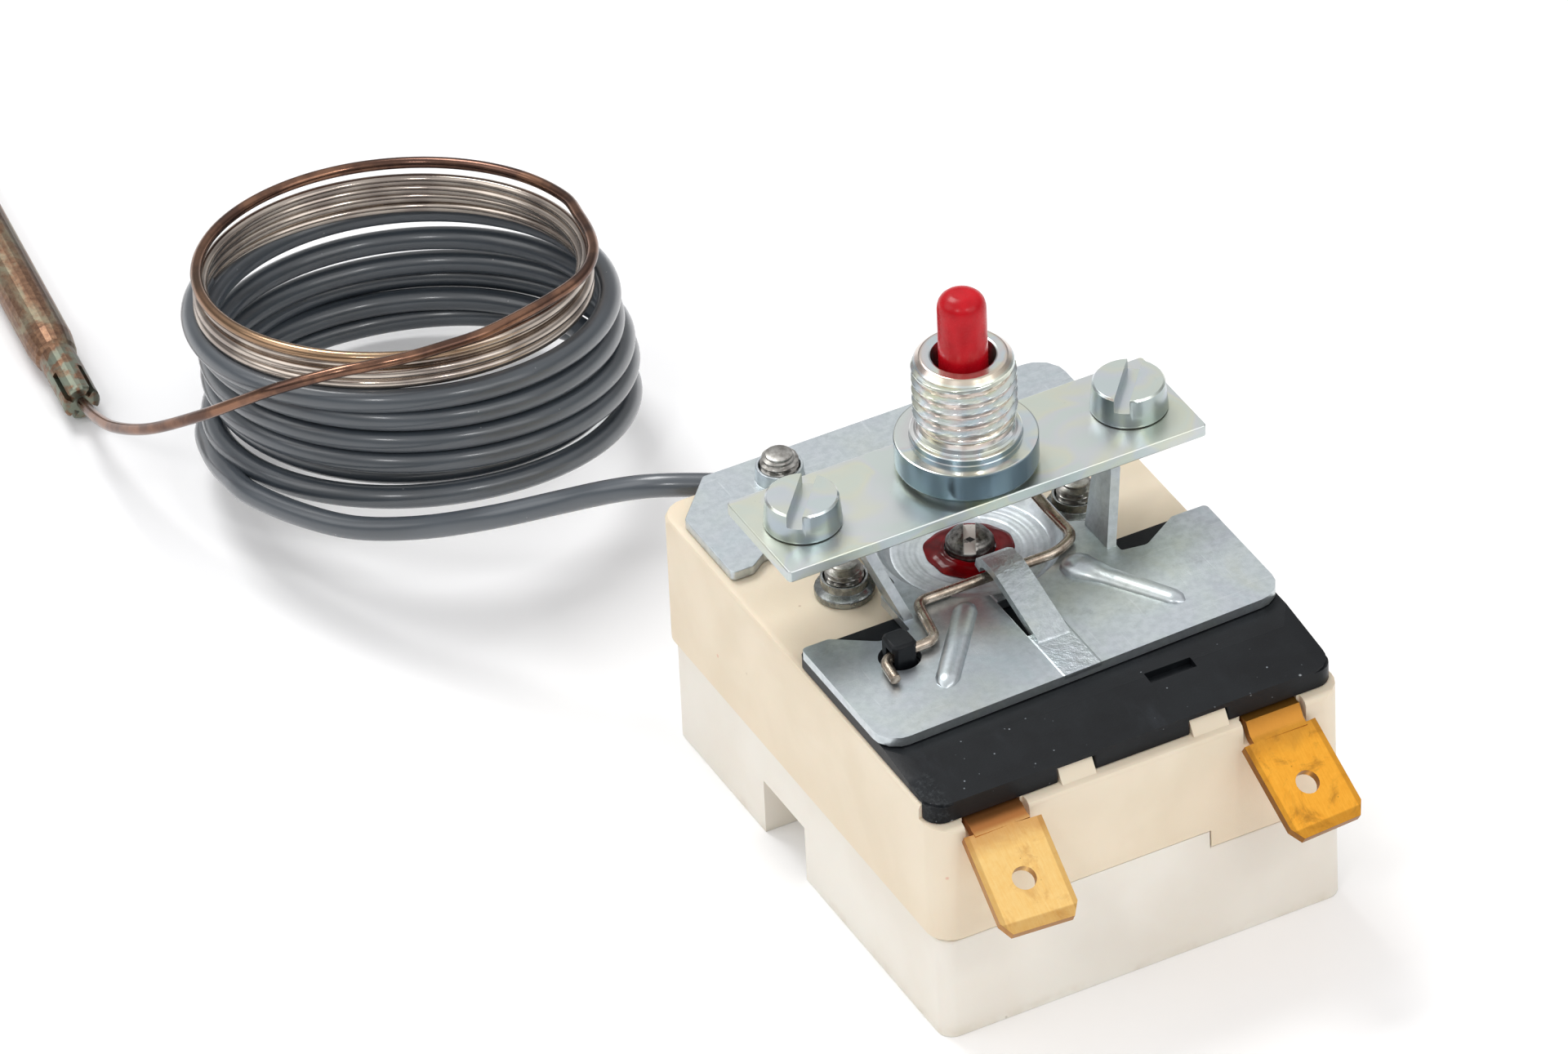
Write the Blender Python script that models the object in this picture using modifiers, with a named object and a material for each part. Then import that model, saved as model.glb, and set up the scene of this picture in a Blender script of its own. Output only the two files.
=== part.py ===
# Safety thermostat with a manual reset button, a coiled capillary and a sensor bulb.
# Metres, +Z up, +Y towards the capillary, +X along the bridge to the right.
# The origin is on the underside of the base, straight below the threaded bushing.

import math

import bmesh
import bpy
from mathutils import Matrix, Vector

MM = 0.001

# Gap between pieces that rest on each other, and the clearance of a screw in its bore.
SEAT = 0.1 * MM
SCREW_FIT = 0.12 * MM
# Running clearance of the button and the plunger in their guides.
RUN_FIT = 0.08 * MM

# Upper housing, a cream moulding that is open below. Its width, length and top place
# the pieces that it carries.
HOUSING_HALF = 17.45 * MM
HOUSING_FRONT = -26.45 * MM
HOUSING_BACK = 18.3 * MM
HOUSING_TOP = 21.1 * MM
HOUSING_EDGE = 2.0 * MM
HOUSING_SOFT = 0.5 * MM
HOUSING_WALL = 2.2 * MM
ROOF_UNDER = HOUSING_TOP - 2.8 * MM
LEDGE_Z = HOUSING_TOP - 1.3 * MM
LEDGE_RISE = (HOUSING_FRONT + 0.56 * MM, HOUSING_FRONT + 1.45 * MM)
LEDGE_SOFT = 0.5 * MM
MID_PILLAR = 3.0 * MM
REAR_PILLAR_HALF = 3.2 * MM
REAR_PILLAR_FRONT = HOUSING_BACK - 5.7 * MM

# Screws: two in the middle go right through, two at the rear hold the rear plate.
M3 = 1.5 * MM
MID_SCREW_X = HOUSING_HALF - 7.45 * MM
MID_SCREW_Y = 1.5 * MM
MID_SCREW_TOP = HOUSING_TOP + 2.9 * MM
MID_HEAD = 2.75 * MM
MID_HEAD_LOW = 0.5 * MM
MID_HEAD_TOP = 2.9 * MM
REAR_SCREW_X = HOUSING_HALF - 9.41 * MM
REAR_SCREW_Y = HOUSING_BACK - 2.65 * MM
REAR_SCREW_TOP = HOUSING_TOP + 3.2 * MM
REAR_HEAD = 2.1 * MM
SCREW_CHAMFER = 0.45 * MM
EYELET_FLANGE = 2.35 * MM
EYELET_FLANGE_TOP = HOUSING_TOP + 0.8 * MM
EYELET_LIP = 1.85 * MM
EYELET_TOP = HOUSING_TOP + 1.7 * MM

# Lower base, a ceramic block just inside the housing's outline.
BASE_HALF = HOUSING_HALF - 0.25 * MM
BASE_FRONT = HOUSING_FRONT + 0.05 * MM
BASE_BACK = HOUSING_BACK - 1.1 * MM
BASE_TOP = 9.2 * MM
BASE_EDGE = 1.25 * MM
TONGUE_LEFT = -7.5 * MM
TONGUE_RIGHT = 5.7 * MM
TONGUE_DEPTH = 1.8 * MM
TONGUE_TOP = BASE_TOP + 1.55 * MM
NOTCH_FRONT = -4.26 * MM
NOTCH_BACK = 2.41 * MM
NOTCH_TOP = 5.05 * MM
NOTCH_DEPTH = 3.6 * MM
BASE_WALL = 3.2 * MM
RECESS_HALF = BASE_HALF - BASE_WALL
RECESS_FLOOR = BASE_TOP - 3.4 * MM
RECESS_FRONT = BASE_FRONT + BASE_WALL - 0.2 * MM
RECESS_MID_FRONT = MID_SCREW_Y - 7.5 * MM
RECESS_MID_BACK = MID_SCREW_Y + 3.9 * MM
RECESS_BACK = BASE_BACK - BASE_WALL
REAR_HEAD_LOW = BASE_TOP + 0.7 * MM
REAR_HEAD_TOP = BASE_TOP + 2.7 * MM

# Black front cover with three fingers that hang over the ledge.
COVER_HALF = HOUSING_HALF - 0.25 * MM
COVER_FRONT = HOUSING_FRONT + 0.95 * MM
COVER_BACK = -4.7 * MM
COVER_TOP = HOUSING_TOP + 1.2 * MM
COVER_EDGE = 1.9 * MM
BAND_START = COVER_FRONT + 5.05 * MM
BAND_FRONT_Z = COVER_TOP - 0.72 * MM
HIP_NEAR = (COVER_HALF - 1.9 * MM, COVER_FRONT + 4.55 * MM)
HIP_FAR = (COVER_HALF + 0.1 * MM, COVER_FRONT + 7.55 * MM)
HIP_LOW_Z = COVER_TOP - 0.95 * MM
FINGERS = ((-COVER_HALF, -COVER_HALF + 10.7 * MM), (-3.4 * MM, 4.7 * MM),
           (COVER_HALF - 9.25 * MM, COVER_HALF))
FINGER_BACK = COVER_FRONT + 1.5 * MM
FINGER_LOW = LEDGE_Z + SEAT
FINGER_EDGE = 1.45 * MM
COVER_SLOT = (3.8 * MM, COVER_FRONT + 4.3 * MM, 7.75 * MM, COVER_FRONT + 5.4 * MM)
COVER_SLOT_FLOOR = COVER_TOP - 0.6 * MM

# Zinc-plated front plate with a pressed dish, two ribs, a hook and two legs.
SHEET = 0.8 * MM
PLATE_TOP = COVER_TOP + 0.9 * MM
PLATE_LEFT = -HOUSING_HALF + 0.1 * MM
PLATE_RIGHT = HOUSING_HALF + 0.05 * MM
PLATE_FRONT_LEFT = -18.8 * MM
PLATE_FRONT_RIGHT = -17.7 * MM
PLATE_WING_BACK = -5.4 * MM
DISH_OUTER = HOUSING_HALF - 10.15 * MM
DISH_FLOOR = PLATE_TOP - 1.15 * MM
DISH_UNDER = PLATE_TOP - 1.9 * MM
STRIP_HALF = DISH_OUTER + 0.15 * MM
STRIP_BACK = DISH_OUTER + 2.2 * MM
COVER_BAY = DISH_OUTER + 0.5 * MM
LEVER_Y = -5.4 * MM
RIB_LEFT = ((-0.541 * DISH_OUTER, min(-0.945 * DISH_OUTER, LEVER_Y - 1.5 * MM)),
            (-HOUSING_HALF + 7.25 * MM, PLATE_FRONT_LEFT + 3.9 * MM))
RIB_RIGHT = ((0.726 * DISH_OUTER, min(-0.979 * DISH_OUTER, LEVER_Y - 1.75 * MM)),
             (HOUSING_HALF - 7.29 * MM, PLATE_FRONT_LEFT + 4.0 * MM))
RIB_HALF = 0.95 * MM
RIB_HEIGHT = 0.55 * MM
DOME_HALF = 1.4 * MM
DOME_HEIGHT = 0.95 * MM
HOOK_LEFT = -1.7 * MM
HOOK_RIGHT = 1.0 * MM
HOOK_ROOT = -14.6 * MM
HOOK_SHEET = SHEET - 0.06 * MM
HOOK_MID = PLATE_TOP - SHEET / 2.0
HOOK_PATH = ((HOOK_ROOT, HOOK_MID), (HOOK_ROOT + 0.8 * MM, HOOK_MID),
             (HOOK_ROOT + 1.15 * MM, HOOK_MID + 0.35 * MM), (-7.6 * MM, HOOK_MID + 2.0 * MM),
             (-6.5 * MM, HOOK_MID + 2.25 * MM), (-5.2 * MM, HOOK_MID + 2.18 * MM),
             (-4.5 * MM, HOOK_MID + 1.75 * MM), (-4.3 * MM, HOOK_MID + 1.1 * MM))
HOOK_SLOT = (HOOK_LEFT - 0.3 * MM, HOOK_ROOT + 1.9 * MM, HOOK_RIGHT + 0.3 * MM, -DISH_OUTER - 0.6 * MM)
LEG_ROOT_X = DISH_OUTER + 1.05 * MM
LEG_TOP_X = DISH_OUTER + 2.8 * MM

# Rear plate.
REAR_PLATE_TOP = HOUSING_TOP + 0.9 * MM
REAR_LEFT = -HOUSING_HALF + 0.65 * MM
REAR_RIGHT = HOUSING_HALF - 0.15 * MM
REAR_BACK = HOUSING_BACK + 0.4 * MM
REAR_FRONT = DISH_OUTER + 0.5 * MM
REAR_OUTLINE = ((REAR_LEFT + 1.8 * MM, REAR_FRONT - MM), (REAR_LEFT + 3.2 * MM, REAR_FRONT),
                (REAR_RIGHT, REAR_FRONT), (REAR_RIGHT, REAR_BACK), (REAR_LEFT + 3.66 * MM, REAR_BACK),
                (REAR_LEFT, REAR_BACK - 4.1 * MM), (REAR_LEFT, REAR_FRONT - MM))
REAR_COLLAR = 1.85 * MM
REAR_COLLAR_TOP = REAR_PLATE_TOP + 1.2 * MM

# Bridge plate on the legs, and the threaded bushing M8 x 1 that it holds.
BRIDGE_HALF = HOUSING_HALF + 0.45 * MM
BRIDGE_FRONT = -5.1 * MM
BRIDGE_BACK = 5.0 * MM
BRIDGE_LOW = PLATE_TOP + 6.2 * MM
BRIDGE_TOP = BRIDGE_LOW + 1.0 * MM
LEG_KNEE_Z = BRIDGE_LOW - 1.0 * MM
BUSH_SPIGOT = 3.2 * MM
BUSH_STEP = 4.5 * MM
BUSH_FLANGE = 5.5 * MM
BUSH_FLANGE_LOW = BRIDGE_TOP + 0.55 * MM
BUSH_FLANGE_TOP = BUSH_FLANGE_LOW + 2.35 * MM
BUSH_COLLAR = 4.03 * MM
BUSH_COLLAR_TOP = BUSH_FLANGE_TOP + 0.55 * MM
BUSH_NECK = 3.5 * MM
BUSH_THREAD = 4.0 * MM
BUSH_ROOT = 3.45 * MM
BUSH_PITCH = 1.0 * MM
BUSH_THREAD_LOW = BUSH_COLLAR_TOP + 1.45 * MM
BUSH_TOP = BUSH_FLANGE_TOP + 7.45 * MM
BUSH_TOP_RADIUS = 3.37 * MM
BUSH_BORE = 2.45 * MM

# Contacts under the roof, the spring that opens them and the diaphragm capsule above it.
LEFT_STRIP_Z = HOUSING_TOP - 4.6 * MM
RIGHT_STRIP_Z = HOUSING_TOP - 7.4 * MM
SPRING_LOW = RIGHT_STRIP_Z + SHEET / 2.0 + 0.12 * MM
SPRING_TOP = SPRING_LOW + 0.4 * MM
RIVET_X = HOUSING_HALF - 6.45 * MM
RIVET_Y = -10.3 * MM
CONTACT = 1.5 * MM
CONTACT_X = -HOUSING_HALF + 5.25 * MM
CONTACT_Y = -14.5 * MM
MOVING_CONTACT_TOP = SPRING_TOP + 0.58 * MM
FIXED_CONTACT_TOP = LEFT_STRIP_Z - SHEET / 2.0 - SEAT
THRUST_PIN = 1.2 * MM
CAPSULE = MID_SCREW_X - MID_PILLAR - 0.5 * MM
CAPSULE_LOW = SPRING_TOP + 1.48 * MM
CAPSULE_TOP = CAPSULE_LOW + 2.0 * MM

# Reset button, the wire lever under it and the black plunger that the lever lifts.
BUTTON = 1.88 * MM
BUTTON_TOP = BUSH_TOP + 5.55 * MM
BUTTON_FLAT = 1.02 * MM
BUTTON_GUIDE_TOP = BUSH_COLLAR_TOP + 1.15 * MM
BUTTON_FOOT = 3.0 * MM
BUTTON_FOOT_TOP = BRIDGE_LOW - 0.2 * MM
BUTTON_FOOT_LOW = BUTTON_FOOT_TOP - 1.0 * MM
PLUNGER_X = -HOUSING_HALF + 6.01 * MM
PLUNGER_Y = -10.03 * MM
PLUNGER_WIDE = 1.05 * MM
PLUNGER_LONG = 1.15 * MM
PLUNGER_CORNER = 0.35 * MM
PLUNGER_ROUND = 1.37 * MM
PLUNGER_TOP = PLATE_TOP + 1.85 * MM
PLUNGER_SLOT_Y = -10.37 * MM
PLUNGER_SLOT_HALF = 0.56 * MM
PLUNGER_SLOT_Z = (PLATE_TOP + 0.02 * MM, PLATE_TOP + 1.2 * MM)
PLUNGER_COLLAR = 0.85 * MM
PLUNGER_COLLAR_Z = (SPRING_LOW - 2.8 * MM, SPRING_LOW - 2.1 * MM)
LEVER_RADIUS = 0.42 * MM
LEVER_BEND = 0.95 * MM
LEVER_Z = PLATE_TOP + 0.5 * MM
LEVER_AXIS = (0.0, LEVER_Y, LEVER_Z)
LEVER_PATH = ((PLUNGER_X - 1.9 * MM, -13.0 * MM, LEVER_Z + 0.08 * MM),
              (PLUNGER_X - 1.6 * MM, PLUNGER_SLOT_Y - 0.05 * MM, LEVER_Z + 0.08 * MM),
              (PLUNGER_X + 3.04 * MM, PLUNGER_SLOT_Y + 0.15 * MM, LEVER_Z + 0.12 * MM),
              (PLUNGER_X + 3.94 * MM, LEVER_Y, LEVER_Z),
              (LEG_ROOT_X - 3.75 * MM, LEVER_Y, LEVER_Z),
              (LEG_ROOT_X - 1.75 * MM, -4.4 * MM, LEVER_Z + 0.1 * MM),
              (LEG_ROOT_X - 2.1 * MM, -1.5 * MM, PLATE_TOP + MM),
              (LEG_ROOT_X - 3.15 * MM, 1.25 * MM, BUTTON_FOOT_LOW - 2.05 * MM),
              (-3.2 * MM, 2.6 * MM, BUTTON_FOOT_LOW - 0.6 * MM))

# Calibration screw, locked with lacquer.
GRUB = 1.88 * MM
GRUB_TOP = PLATE_TOP + 1.0 * MM
GRUB_LOW = CAPSULE_TOP + SEAT
GRUB_SLOT = 0.9 * MM
LACQUER = 3.6 * MM

# Mounting screws with slotted cheese heads, 28 mm apart.
MOUNT_X = BRIDGE_HALF - 3.9 * MM
MOUNT_HEAD = 3.0 * MM
MOUNT_HEAD_CROWN = 2.8 * MM
MOUNT_HEAD_HEIGHT = 2.4 * MM
MOUNT_SHANK = 1.6 * MM
MOUNT_SHANK_LOW = BRIDGE_LOW - 2.8 * MM
MOUNT_SLOT = 1.2 * MM
MOUNT_SLOT_DEEP = 1.1 * MM
MOUNT_SLOT_TURN = math.radians(50.0)

# Brass push-on tabs, 6.3 mm x 0.8 mm.
TAB_HALF = 3.15 * MM
TAB_LENGTH = 8.3 * MM
TAB_CORNER = 1.1 * MM
TAB_HOLE = 0.95 * MM
TAB_HOLE_Y = 4.35 * MM
NECK_HALF = 2.3 * MM
TAB_Y = HOUSING_FRONT - 0.75 * MM
TAB_LEFT = (-HOUSING_HALF + 5.24 * MM, TAB_Y, HOUSING_TOP - 1.86 * MM)
TAB_RIGHT = (HOUSING_HALF - 6.06 * MM, TAB_Y, HOUSING_TOP - 2.6 * MM)
TAB_LEFT_TURN = (-4.4, 30.0)
TAB_RIGHT_TURN = (3.6, 31.4)
NECK_Z = HOUSING_TOP - 1.8 * MM
NECK_SILL_Z = HOUSING_TOP - 3.2 * MM
STRIP_RISE_Y = HOUSING_FRONT + 4.95 * MM

# Cords: the grey sleeve, the bare capillary and the sensor bulb, placed from the exit
# in the housing's back.
EXIT_Z = HOUSING_TOP - 1.2 * MM
EXIT_X = -REAR_SCREW_X - 1.91 * MM
COIL_AXIS = (0.049, 0.141, 0.989)
COIL_CENTRE = (-18.75 * MM, HOUSING_BACK + 39.75 * MM, 3.49 * MM)
SLEEVE = 0.95 * MM
SLEEVE_COIL = (16.05 * MM, 17.95 * MM, -0.75 * MM, 12.5 * MM)
CAPILLARY = 0.475 * MM
CAPILLARY_COIL = (15.6 * MM, 16.6 * MM, 12.8 * MM, 16.2 * MM)
SLEEVE_START = ((EXIT_X, HOUSING_BACK + 0.2 * MM, EXIT_Z),
                (EXIT_X - 2.35 * MM, HOUSING_BACK + 1.7 * MM, EXIT_Z + 0.1 * MM),
                (EXIT_X - 5.75 * MM, HOUSING_BACK + 3.9 * MM, EXIT_Z - 0.1 * MM))
SLEEVE_RUN = ((-18.2, 6.5, 18.5), (-20.8, 9.6, 16.5), (-25.0, 13.6, 14.0), (-28.7, 18.8, 11.0),
              (-32.1, 23.8, 9.0), (-34.8, 28.5, 8.0), (-35.9, 31.2, 8.0))
FEED_Z = (CAPSULE_LOW + CAPSULE_TOP) / 2.0
FEED_SIDE = -REAR_SCREW_X - REAR_PILLAR_HALF
FEED_PATH = ((EXIT_X + 0.09 * MM, HOUSING_BACK + 0.14 * MM, EXIT_Z),
             (EXIT_X + 0.35 * MM, HOUSING_BACK - 0.15 * MM, EXIT_Z - 0.02 * MM),
             (EXIT_X + 0.05 * MM, HOUSING_BACK - 0.9 * MM, EXIT_Z - 0.2 * MM),
             (EXIT_X - 0.75 * MM, HOUSING_BACK - 1.9 * MM, EXIT_Z - 0.7 * MM),
             (FEED_SIDE - 0.66 * MM, HOUSING_BACK - 3.9 * MM, FEED_Z + 0.7 * MM),
             (FEED_SIDE - 0.36 * MM, REAR_PILLAR_FRONT - 1.1 * MM, FEED_Z),
             (-1.37 * CAPSULE, 1.154 * CAPSULE, FEED_Z), (-0.9 * CAPSULE, 0.485 * CAPSULE, FEED_Z))
TAIL_RUN = ((-8.6, 28.4, 22.1), (-13.5, 26.3, 22.4), (-18.3, 25.4, 22.6), (-23.5, 25.9, 22.3),
            (-29.5, 28.9, 20.2), (-33.5, 31.3, 18.8), (-37.0, 34.2, 16.0), (-40.2, 39.2, 12.0),
            (-41.6, 45.7, 8.0), (-41.3, 52.2, 4.6), (-40.3, 57.9, 2.3))
BULB = 1.97 * MM
BULB_START = (-40.2 * MM, HOUSING_BACK + 58.2 * MM, 2.02 * MM)
BULB_DIRECTION = (0.13, 0.99, 0.0)
BULB_LENGTH = 80.0 * MM
BULB_NECK = 1.55 * MM
BULB_NECK_LENGTH = 6.5 * MM

ROUND = 32
FINE_ROUND = 48


def clear_scene():
    for item in list(bpy.data.objects):
        bpy.data.objects.remove(item, do_unlink=True)


clear_scene()
PARTS = bpy.data.collections.new("thermostat")
CUTTERS = bpy.data.collections.new("cutters")
bpy.context.scene.collection.children.link(PARTS)
bpy.context.scene.collection.children.link(CUTTERS)


def add(name, mesh, tool=False):
    item = bpy.data.objects.new(name, mesh)
    (CUTTERS if tool else PARTS).objects.link(item)
    if tool:
        item.hide_render = True
        item.display_type = 'WIRE'
    return item


def mesh_from(name, shape):
    bmesh.ops.recalc_face_normals(shape, faces=shape.faces)
    mesh = bpy.data.meshes.new(name)
    shape.to_mesh(mesh)
    shape.free()
    return mesh


def loft(name, rings, tool=False):
    # Closed solid through rings of points with the same number of corners.
    shape = bmesh.new()
    rows = [[shape.verts.new(point) for point in ring] for ring in rings]
    count = len(rows[0])
    for low, high in zip(rows, rows[1:]):
        for i in range(count):
            j = (i + 1) % count
            shape.faces.new((low[i], low[j], high[j], high[i]))
    shape.faces.new(rows[0][::-1])
    shape.faces.new(rows[-1])
    return add(name, mesh_from(name, shape), tool)


def box(name, low, high, tool=False):
    corners = ((0, 0), (1, 0), (1, 1), (0, 1))
    ends = (low, high)
    rings = [[(ends[i][0], ends[j][1], z) for i, j in corners] for z in (low[2], high[2])]
    return loft(name, rings, tool)


def rounded(points, radii, steps=5):
    # Outline with each corner replaced by an arc of the radius given for it.
    result = []
    count = len(points)
    for i, point in enumerate(points):
        radius = radii[i] if isinstance(radii, (list, tuple)) else radii
        here = Vector(point)
        back = (Vector(points[i - 1]) - here).normalized()
        ahead = (Vector(points[(i + 1) % count]) - here).normalized()
        if radius <= 0.0:
            result.append(tuple(here))
            continue
        half = back.angle(ahead) / 2.0
        centre = here + (back + ahead).normalized() * (radius / math.sin(half))
        start = here + back * (radius / math.tan(half))
        end = here + ahead * (radius / math.tan(half))
        for k in range(steps + 1):
            blend = (start.lerp(end, k / steps) - centre).normalized()
            result.append(tuple(centre + blend * radius))
    return result


def block(name, half, front, back, low, high, corner, soft):
    # Upright block with rounded corners; soft rounds its upper edge.
    rings = []
    for z, inset in ((low, 0.0), (high - soft, 0.0), (high - 0.3 * soft, 0.3 * soft), (high, soft)):
        wide = half - inset
        near = front + inset
        far = back - inset
        corners = ((-wide, near), (wide, near), (wide, far), (-wide, far))
        rings.append([(x, y, z) for x, y in rounded(corners, corner - 0.5 * inset)])
    return loft(name, rings)


def prism(name, outline, low, high, tool=False):
    return loft(name, [[(x, y, z) for x, y in outline] for z in (low, high)], tool)


def flat(name, outline, holes, low, high):
    # Sheet piece: a filled flat curve with its holes, made a mesh.
    curve = bpy.data.curves.new(name, 'CURVE')
    curve.dimensions = '2D'
    curve.fill_mode = 'BOTH'
    curve.extrude = (high - low) / 2.0
    for loop in [outline] + holes:
        spline = curve.splines.new('POLY')
        spline.points.add(len(loop) - 1)
        for corner, (x, y) in zip(spline.points, loop):
            corner.co = (x, y, 0.0, 1.0)
        spline.use_cyclic_u = True
    return from_curve(name, curve, (low + high) / 2.0)


def from_curve(name, curve, lift=0.0, tool=False):
    source = bpy.data.objects.new(name + "_curve", curve)
    PARTS.objects.link(source)
    bpy.context.view_layer.update()
    view = bpy.context.evaluated_depsgraph_get()
    mesh = bpy.data.meshes.new_from_object(source.evaluated_get(view))
    bpy.data.objects.remove(source, do_unlink=True)
    shape = bmesh.new()
    shape.from_mesh(mesh)
    bmesh.ops.translate(shape, vec=(0.0, 0.0, lift), verts=shape.verts)
    bmesh.ops.remove_doubles(shape, verts=shape.verts, dist=1e-6)
    return add(name, mesh_from(name, shape), tool)


def circle(x, y, radius, count=ROUND):
    turns = [2.0 * math.pi * i / count for i in range(int(count))]
    return [(x + radius * math.cos(a), y + radius * math.sin(a)) for a in turns]


def tube(name, path, radius, tool=False):
    curve = bpy.data.curves.new(name, 'CURVE')
    curve.dimensions = '3D'
    curve.bevel_depth = radius
    curve.bevel_resolution = 2
    curve.use_fill_caps = True
    spline = curve.splines.new('POLY')
    spline.points.add(len(path) - 1)
    for corner, point in zip(spline.points, path):
        corner.co = (*point, 1.0)
    return from_curve(name, curve, 0.0, tool)


def from_back(points):
    # Points typed in millimetres, their y counted from the housing's back.
    return [(x * MM, HOUSING_BACK + y * MM, z * MM) for x, y, z in points]


def smooth(points, steps):
    # Curve through the points, Catmull-Rom between each two.
    knots = [Vector(point) for point in points]
    knots = [2.0 * knots[0] - knots[1]] + knots + [2.0 * knots[-1] - knots[-2]]
    path = []
    for a, b, c, d in zip(knots, knots[1:], knots[2:], knots[3:]):
        for k in range(steps):
            t = k / steps
            path.append(0.5 * (2.0 * b + (c - a) * t + (2.0 * a - 5.0 * b + 4.0 * c - d) * t * t
                               + (3.0 * b - a - 3.0 * c + d) * t ** 3))
    path.append(knots[-2])
    return path


def bent(points, radius, steps=4):
    # Straight runs joined by bends, as in formed wire.
    corners = [Vector(point) for point in points]
    path = [corners[0]]
    for before, here, after in zip(corners, corners[1:], corners[2:]):
        reach_back = min(radius, 0.45 * (before - here).length)
        reach_on = min(radius, 0.45 * (after - here).length)
        start = here + (before - here).normalized() * reach_back
        end = here + (after - here).normalized() * reach_on
        for k in range(steps + 1):
            t = k / steps
            path.append(start * (1 - t) ** 2 + here * (2 * t * (1 - t)) + end * t ** 2)
    path.append(corners[-1])
    return path


def turned(name, profile, centre=(0.0, 0.0, 0.0), steps=ROUND, ring=False, tool=False):
    # Profile of (radius, z) down the outer side; a ring goes back up its bore.
    mesh = bpy.data.meshes.new(name)
    edges = [(i, i + 1) for i in range(len(profile) - 1)]
    if ring:
        edges.append((len(profile) - 1, 0))
    mesh.from_pydata([(r, 0.0, z) for r, z in profile], edges, [])
    item = add(name, mesh, tool)
    item.location = centre
    screw = item.modifiers.new("turn", 'SCREW')
    screw.axis = 'Z'
    screw.steps = int(steps)
    screw.render_steps = int(steps)
    screw.use_merge_vertices = True
    screw.merge_threshold = 0.00001
    screw.use_smooth_shade = False
    return item


def cylinder(name, x, y, radius, low, high, steps=ROUND, tool=True):
    return turned(name, [(0.0, high), (radius, high), (radius, low), (0.0, low)],
                  (x, y, 0.0), steps, False, tool)


def bores(name, items, steps=ROUND):
    # One cutter of several turned bores, each a profile down its outer side and a centre.
    shape = bmesh.new()
    for profile, x, y in items:
        rows = []
        for radius, z in profile:
            if radius == 0.0:
                rows.append([shape.verts.new((x, y, z))] * steps)
            else:
                rows.append([shape.verts.new((*point, z)) for point in circle(x, y, radius, steps)])
        for upper, under in zip(rows, rows[1:]):
            for i in range(steps):
                j = (i + 1) % steps
                corners = [upper[i], under[i], under[j], upper[j]]
                shape.faces.new(list(dict.fromkeys(corners)))
    return add(name, mesh_from(name, shape), True)


def plain_bore(radius, low, high):
    return [(0.0, high), (radius, high), (radius, low), (0.0, low)]


def combine(target, other, operation):
    step = target.modifiers.new(other.name, 'BOOLEAN')
    step.operation = operation
    step.solver = 'EXACT'
    step.object = other


def cut(target, *tools):
    for item in tools:
        combine(target, item, 'DIFFERENCE')


def weld(target, *tools):
    for item in tools:
        combine(target, item, 'UNION')


def centre_on(item, point):
    # Puts the origin of a moving piece on its axis and leaves its shape in place.
    shift = Vector(point) - item.location
    item.data.transform(Matrix.Translation(-shift))
    item.location = Vector(point)


def paint(item, colour, metallic, roughness):
    surface = bpy.data.materials.new(item.name)
    surface.use_nodes = True
    shader = surface.node_tree.nodes["Principled BSDF"]
    shader.inputs["Base Color"].default_value = (*colour, 1.0)
    shader.inputs["Metallic"].default_value = metallic
    shader.inputs["Roughness"].default_value = roughness
    item.data.materials.append(surface)


CREAM = (0.83, 0.72, 0.56)
CERAMIC = (0.87, 0.82, 0.73)
ZINC = (0.62, 0.65, 0.67)
BRIGHT_ZINC = (0.74, 0.76, 0.74)
BLACK = (0.02, 0.022, 0.026)
RED = (0.55, 0.02, 0.03)
BRASS = (0.78, 0.52, 0.16)
COPPER = (0.36, 0.22, 0.15)
NICKEL = (0.5, 0.46, 0.4)
GREY_SLEEVE = (0.12, 0.14, 0.15)


def mirrored(name, build):
    # The same small piece on both sides: build takes a name and the side's sign.
    return [build(name + "_left", -1.0), build(name + "_right", 1.0)]


def lower_base():
    body = block("lower_base", BASE_HALF, BASE_FRONT, BASE_BACK, 0.0, BASE_TOP, BASE_EDGE, 0.2 * MM)
    weld(body, box("base_tongue", (TONGUE_LEFT, BASE_FRONT, BASE_TOP - 2.0 * MM),
                   (TONGUE_RIGHT, BASE_FRONT + TONGUE_DEPTH, TONGUE_TOP), True))
    for side in (-1.0, 1.0):
        ends = sorted((side * (BASE_HALF - NOTCH_DEPTH), side * (BASE_HALF + 2.0 * MM)))
        name = "base_notch_left" if side < 0 else "base_notch_right"
        cut(body, box(name, (ends[0], NOTCH_FRONT, -1.0 * MM), (ends[1], NOTCH_BACK, NOTCH_TOP), True))
    for name, near, far in (("base_recess_front", RECESS_FRONT, RECESS_MID_FRONT),
                            ("base_recess_rear", RECESS_MID_BACK, RECESS_BACK)):
        corners = ((-RECESS_HALF, near), (RECESS_HALF, near), (RECESS_HALF, far), (-RECESS_HALF, far))
        cut(body, prism(name, rounded(corners, 1.5 * MM), RECESS_FLOOR, BASE_TOP + 3.0 * MM, True))
    for side in (-1.0, 1.0):
        bore = M3 + SCREW_FIT
        seat = MID_HEAD_TOP + SEAT
        head = MID_HEAD + SCREW_FIT
        name = "base_bore_left" if side < 0 else "base_bore_right"
        cut(body, turned(name, [(0.0, BASE_TOP + MM), (bore, BASE_TOP + MM), (bore, seat),
                                (head, seat), (head, -MM), (0.0, -MM)],
                         (side * MID_SCREW_X, MID_SCREW_Y, 0.0), ROUND, False, True))
    paint(body, CERAMIC, 0.0, 0.55)


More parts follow.
